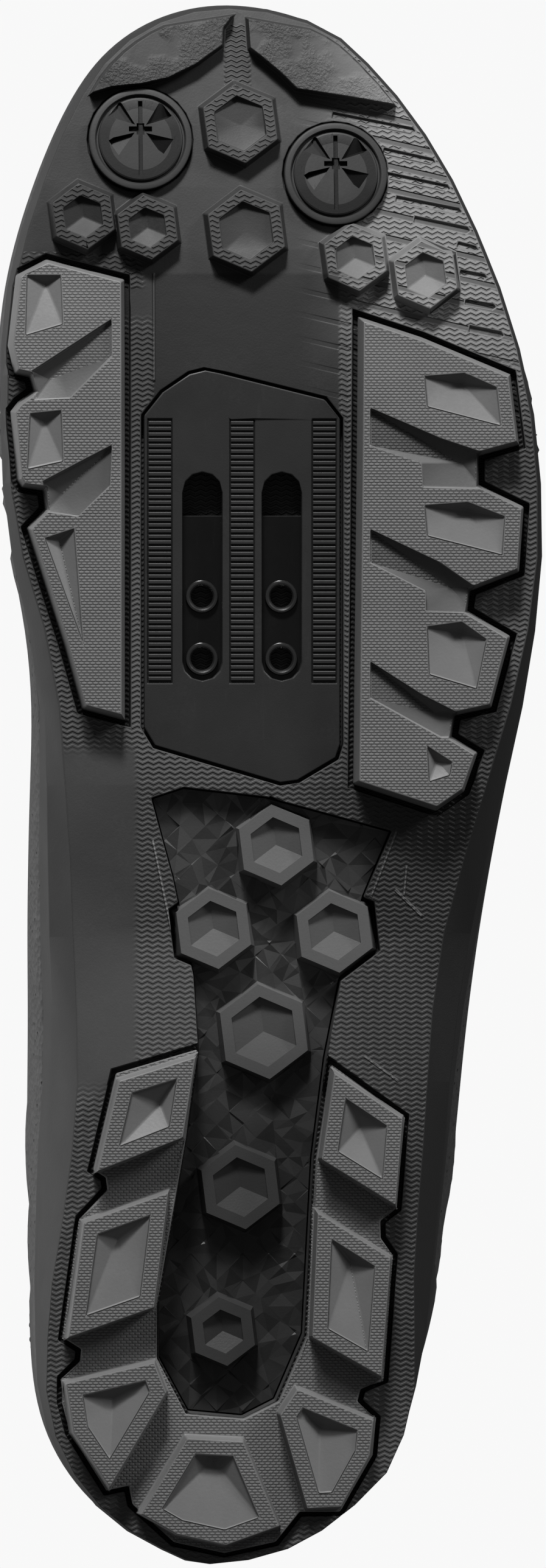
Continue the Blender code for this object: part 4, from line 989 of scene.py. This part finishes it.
def placeStitches(pieceName, lines):
    first = makeStitch()
    copies = []
    for line in lines:
        gap = 0.0
        for (start, normal), (end, unused) in zip(line, line[1:]):
            step = end - start
            if step.length > stitchShape["longestStep"] * mm:
                continue
            while gap < step.length:
                point = start + step.normalized() * gap - normal * stitchShape["sunk"] * mm
                over = normal.cross(step).normalized()
                turn = Matrix((step.normalized(), over, step.normalized().cross(over))).transposed()
                copied = newObject("stitch", first.data.copy())
                copied.data.transform(Matrix.Translation(point) @ turn.to_4x4())
                copies.append(copied)
                gap += stitchShape["spacing"] * mm
            gap -= step.length
    bpy.data.objects.remove(first)
    return joinAll(copies, pieceName)


counterLine = [(counterEdge(z) - stitchShape["counterInset"], z) for z in (46, 50, 55, 60, 64)]
seams = [capLine(offset) for offset in stitchShape["capSeams"]]
for side in (-1, 1):
    seams.append(sideLine(counterLine, side))
    seams.append(sideLine([(x - stitchShape["counterGap"], z) for x, z in counterLine], side))
    seams.append(rimLine(*stitchShape["rimSeam"], side))
    seams.append(sideLine(stitchShape["throatSeam"], side))
stitches = placeStitches("upper_stitching", seams)
placePiece(upper, leatherFinish, ["upper"], 60)
placePiece(stitches, threadFinish)
print("seams", len(stitches.data.polygons))

# Tongue: padded, with channels sewn across it
tongueShape = {"levels": 2, "round": 1.2, "channelAt": (150, 136, 122, 108), "channelWide": 3.2,
               "channelDeep": 0.9, "channelSlant": 0.35, "underDip": 0.3, "puff": 0.6, "tipLong": 15,
              "tipRound": 0.4, "middleHeight": 70}


def makeTongue():
    tongue = copyNode("tongue", "tongue_pad", 0)
    roundEdges(tongue, tongueShape["round"], 2, 50)
    subdivide(tongue, tongueShape["levels"])
    tip = min(vert.co.x for vert in tongue.data.vertices) / mm
    middle = sum(vert.co.y for vert in tongue.data.vertices) / len(tongue.data.vertices) / mm
    for vert in tongue.data.vertices:
        inset = min(max((tip + tongueShape["tipLong"] - vert.co.x / mm) / tongueShape["tipLong"], 0), 1)
        vert.co.y += (middle - vert.co.y / mm) * inset ** 2 * tongueShape["tipRound"] * mm
    tongue.data.update()
    moves = []
    for vert in tongue.data.vertices:
        point = vert.co / mm
        along = point.x + (point.z - tongueShape["middleHeight"]) * tongueShape["channelSlant"]
        near = min(abs(along - at) for at in tongueShape["channelAt"])
        dip = max(0, 1 - (near / tongueShape["channelWide"]) ** 2) ** 2
        top = smooth(vert.normal.z, 0.1, 0.6)
        puff = -tongueShape["channelDeep"] * dip * abs(vert.normal.z)
        puff += tongueShape["puff"] * (1 - dip) * (1 - top)
        moves.append(vert.normal * (puff if vert.normal.z > 0 else -tongueShape["underDip"] * dip) * mm)
    moveAll(tongue.data, moves)
    return tongue


tongue = makeTongue()
placePiece(tongue, tongueFinish, ["tongue"], 60)
print("tongue")

# Insole and straps
insoleShape = {"round": 0.8}
insole = copyNode("insole", "insole_bed")
roundEdges(insole, insoleShape["round"])
placePiece(insole, insoleFinish, ["insole"], 60)

strapShape = {"round": 0.45, "levels": 2, "stitchInset": 2, "seamFrom": -20, "seamTurn": 220,
              "seamSteps": 48, "seamBetween": (90, 210)}


def strapLines(strap):
    # Points along both long edges of a strap, found from outside all round the foot
    tree = surfaceOf(strap.data)
    lines = [[], []]
    inset, steps = strapShape["stitchInset"], strapShape["seamSteps"]
    for k in range(steps + 1):
        turn = radians(strapShape["seamFrom"] + strapShape["seamTurn"] * k / steps)
        away = Vector((0, cos(turn), sin(turn)))
        hits = []
        for x in range(*strapShape["seamBetween"]):
            hit, normal, index, far = tree.ray_cast((Vector((x, 0, 40)) + away * 90) * mm, -away)
            if hit and normal.dot(away) > 0.2:
                hits.append((x, hit, normal))
        if len(hits) > 10:
            lines[0].append(hits[inset][1:])
            lines[1].append(hits[-1 - inset][1:])
    return lines


strapSeams = []
for name in ("strap_front", "strap_middle", "strap_top"):
    strap = copyNode(name, name + "_band", 0)
    roundEdges(strap, strapShape["round"], 2, 50)
    subdivide(strap, strapShape["levels"])
    strapSeams += strapLines(strap)
    placePiece(strap, strapFinish, [name], 50)
placePiece(placeStitches("strap_stitching", strapSeams), threadFinish)
print("insole and straps")

# Studio: pale floor, soft light from the toe's side and a camera that faces the sole at the floor's level.
# The frame's length and middle are in mm, and the other distances in m.
studio = {"distance": 2.0, "frameLong": 276.9, "middle": (138.5, 5.2, 10), "floorLevel": -0.0004,
          "floorShade": 0.86, "floorLong": 12, "backdrop": 0.94, "ambient": 0.085,
          "lampPlace": (1.06, -0.10, 0.55), "lampAim": 0.09, "lampSize": 0.09, "lampBeam": 24,
          "lampPower": 62, "sensor": 36}
# Distant soft lights: their way along the shoe, to its outer side and below its sole, softness, strength
suns = {"daylight": (0.85, -0.20, 0.50, 14, 1.2), "low": (0.60, 0.70, 0.38, 14, 1.2),
        "top": (0.0, -1.0, -0.10, 30, 0.35), "back": (0.0, -0.85, -0.52, 60, 1.3)}


def aimAt(item, place, target, upwards):
    back = (place - target).normalized()
    right = upwards.cross(back).normalized()
    up = back.cross(right)
    item.matrix_world = Matrix.Translation(place) @ Matrix((right, up, back)).transposed().to_4x4()


def makeStudio():
    middle = shoeFrame @ (Vector(studio["middle"]) * mm)
    long = studio["floorLong"]
    bpy.ops.mesh.primitive_plane_add(size=long, location=(0, 0, studio["floorLevel"]))
    floor = bpy.context.object
    floor.name = "floor"
    floorFinish = Finish("pale_floor")
    shade = studio["floorShade"]
    floorFinish.set(level=(shade, shade, shade, 1), roughness=0.9, specular=0.1)
    floor.data.materials.append(floorFinish.material)
    # The floor shows light and shadow, but throws none on to the sole
    floor.visible_diffuse = False
    floor.visible_glossy = False
    floor.visible_shadow = False

    camera = newObject("camera", bpy.data.cameras.new("camera"))
    away = Vector((-shoeUp.x, -shoeUp.y, 0)).normalized()
    place = middle + away * studio["distance"]
    place.z = studio["floorLevel"]
    aimAt(camera, place, middle, shoeAlong)
    camera.data.sensor_width = studio["sensor"]
    camera.data.lens = studio["sensor"] * studio["distance"] / (studio["frameLong"] * mm)
    camera.data.clip_end = 50
    bpy.context.scene.camera = camera

    for name, (along, outer, below, softness, power) in suns.items():
        light = newObject(name, bpy.data.lights.new(name, "SUN"))
        light.data.angle = radians(softness)
        light.data.energy = power
        place = middle + shoeAlong * along + shoeOuter * outer - shoeUp * below
        aimAt(light, place, middle, Vector((0, 0, 1)))

    # A lamp beyond the toe with a soft-edged beam, so that the light falls off towards the heel
    lamp = newObject("lamp", bpy.data.lights.new("lamp", "SPOT"))
    lamp.data.shadow_soft_size = studio["lampSize"]
    lamp.data.spot_size = radians(studio["lampBeam"])
    lamp.data.spot_blend = 1.0
    lamp.data.energy = studio["lampPower"]
    along, outer, below = studio["lampPlace"]
    place = middle + shoeAlong * along + shoeOuter * outer - shoeUp * below
    aimAt(lamp, place, middle + shoeAlong * studio["lampAim"], Vector((0, 0, 1)))

    world = bpy.data.worlds.new("studio")
    bpy.context.scene.world = world
    world.use_nodes = True
    tree = world.node_tree
    background = tree.nodes["Background"]
    seen = tree.nodes.new("ShaderNodeLightPath")
    strength = tree.nodes.new("ShaderNodeMapRange")
    strength.inputs["To Min"].default_value = studio["ambient"]
    strength.inputs["To Max"].default_value = studio["backdrop"]
    tree.links.new(seen.outputs["Is Camera Ray"], strength.inputs["Value"])
    tree.links.new(strength.outputs["Result"], background.inputs["Strength"])
    background.inputs["Color"].default_value = (1, 1, 1, 1)


makeStudio()
bpy.context.scene.view_settings.view_transform = "Standard"
print("studio")
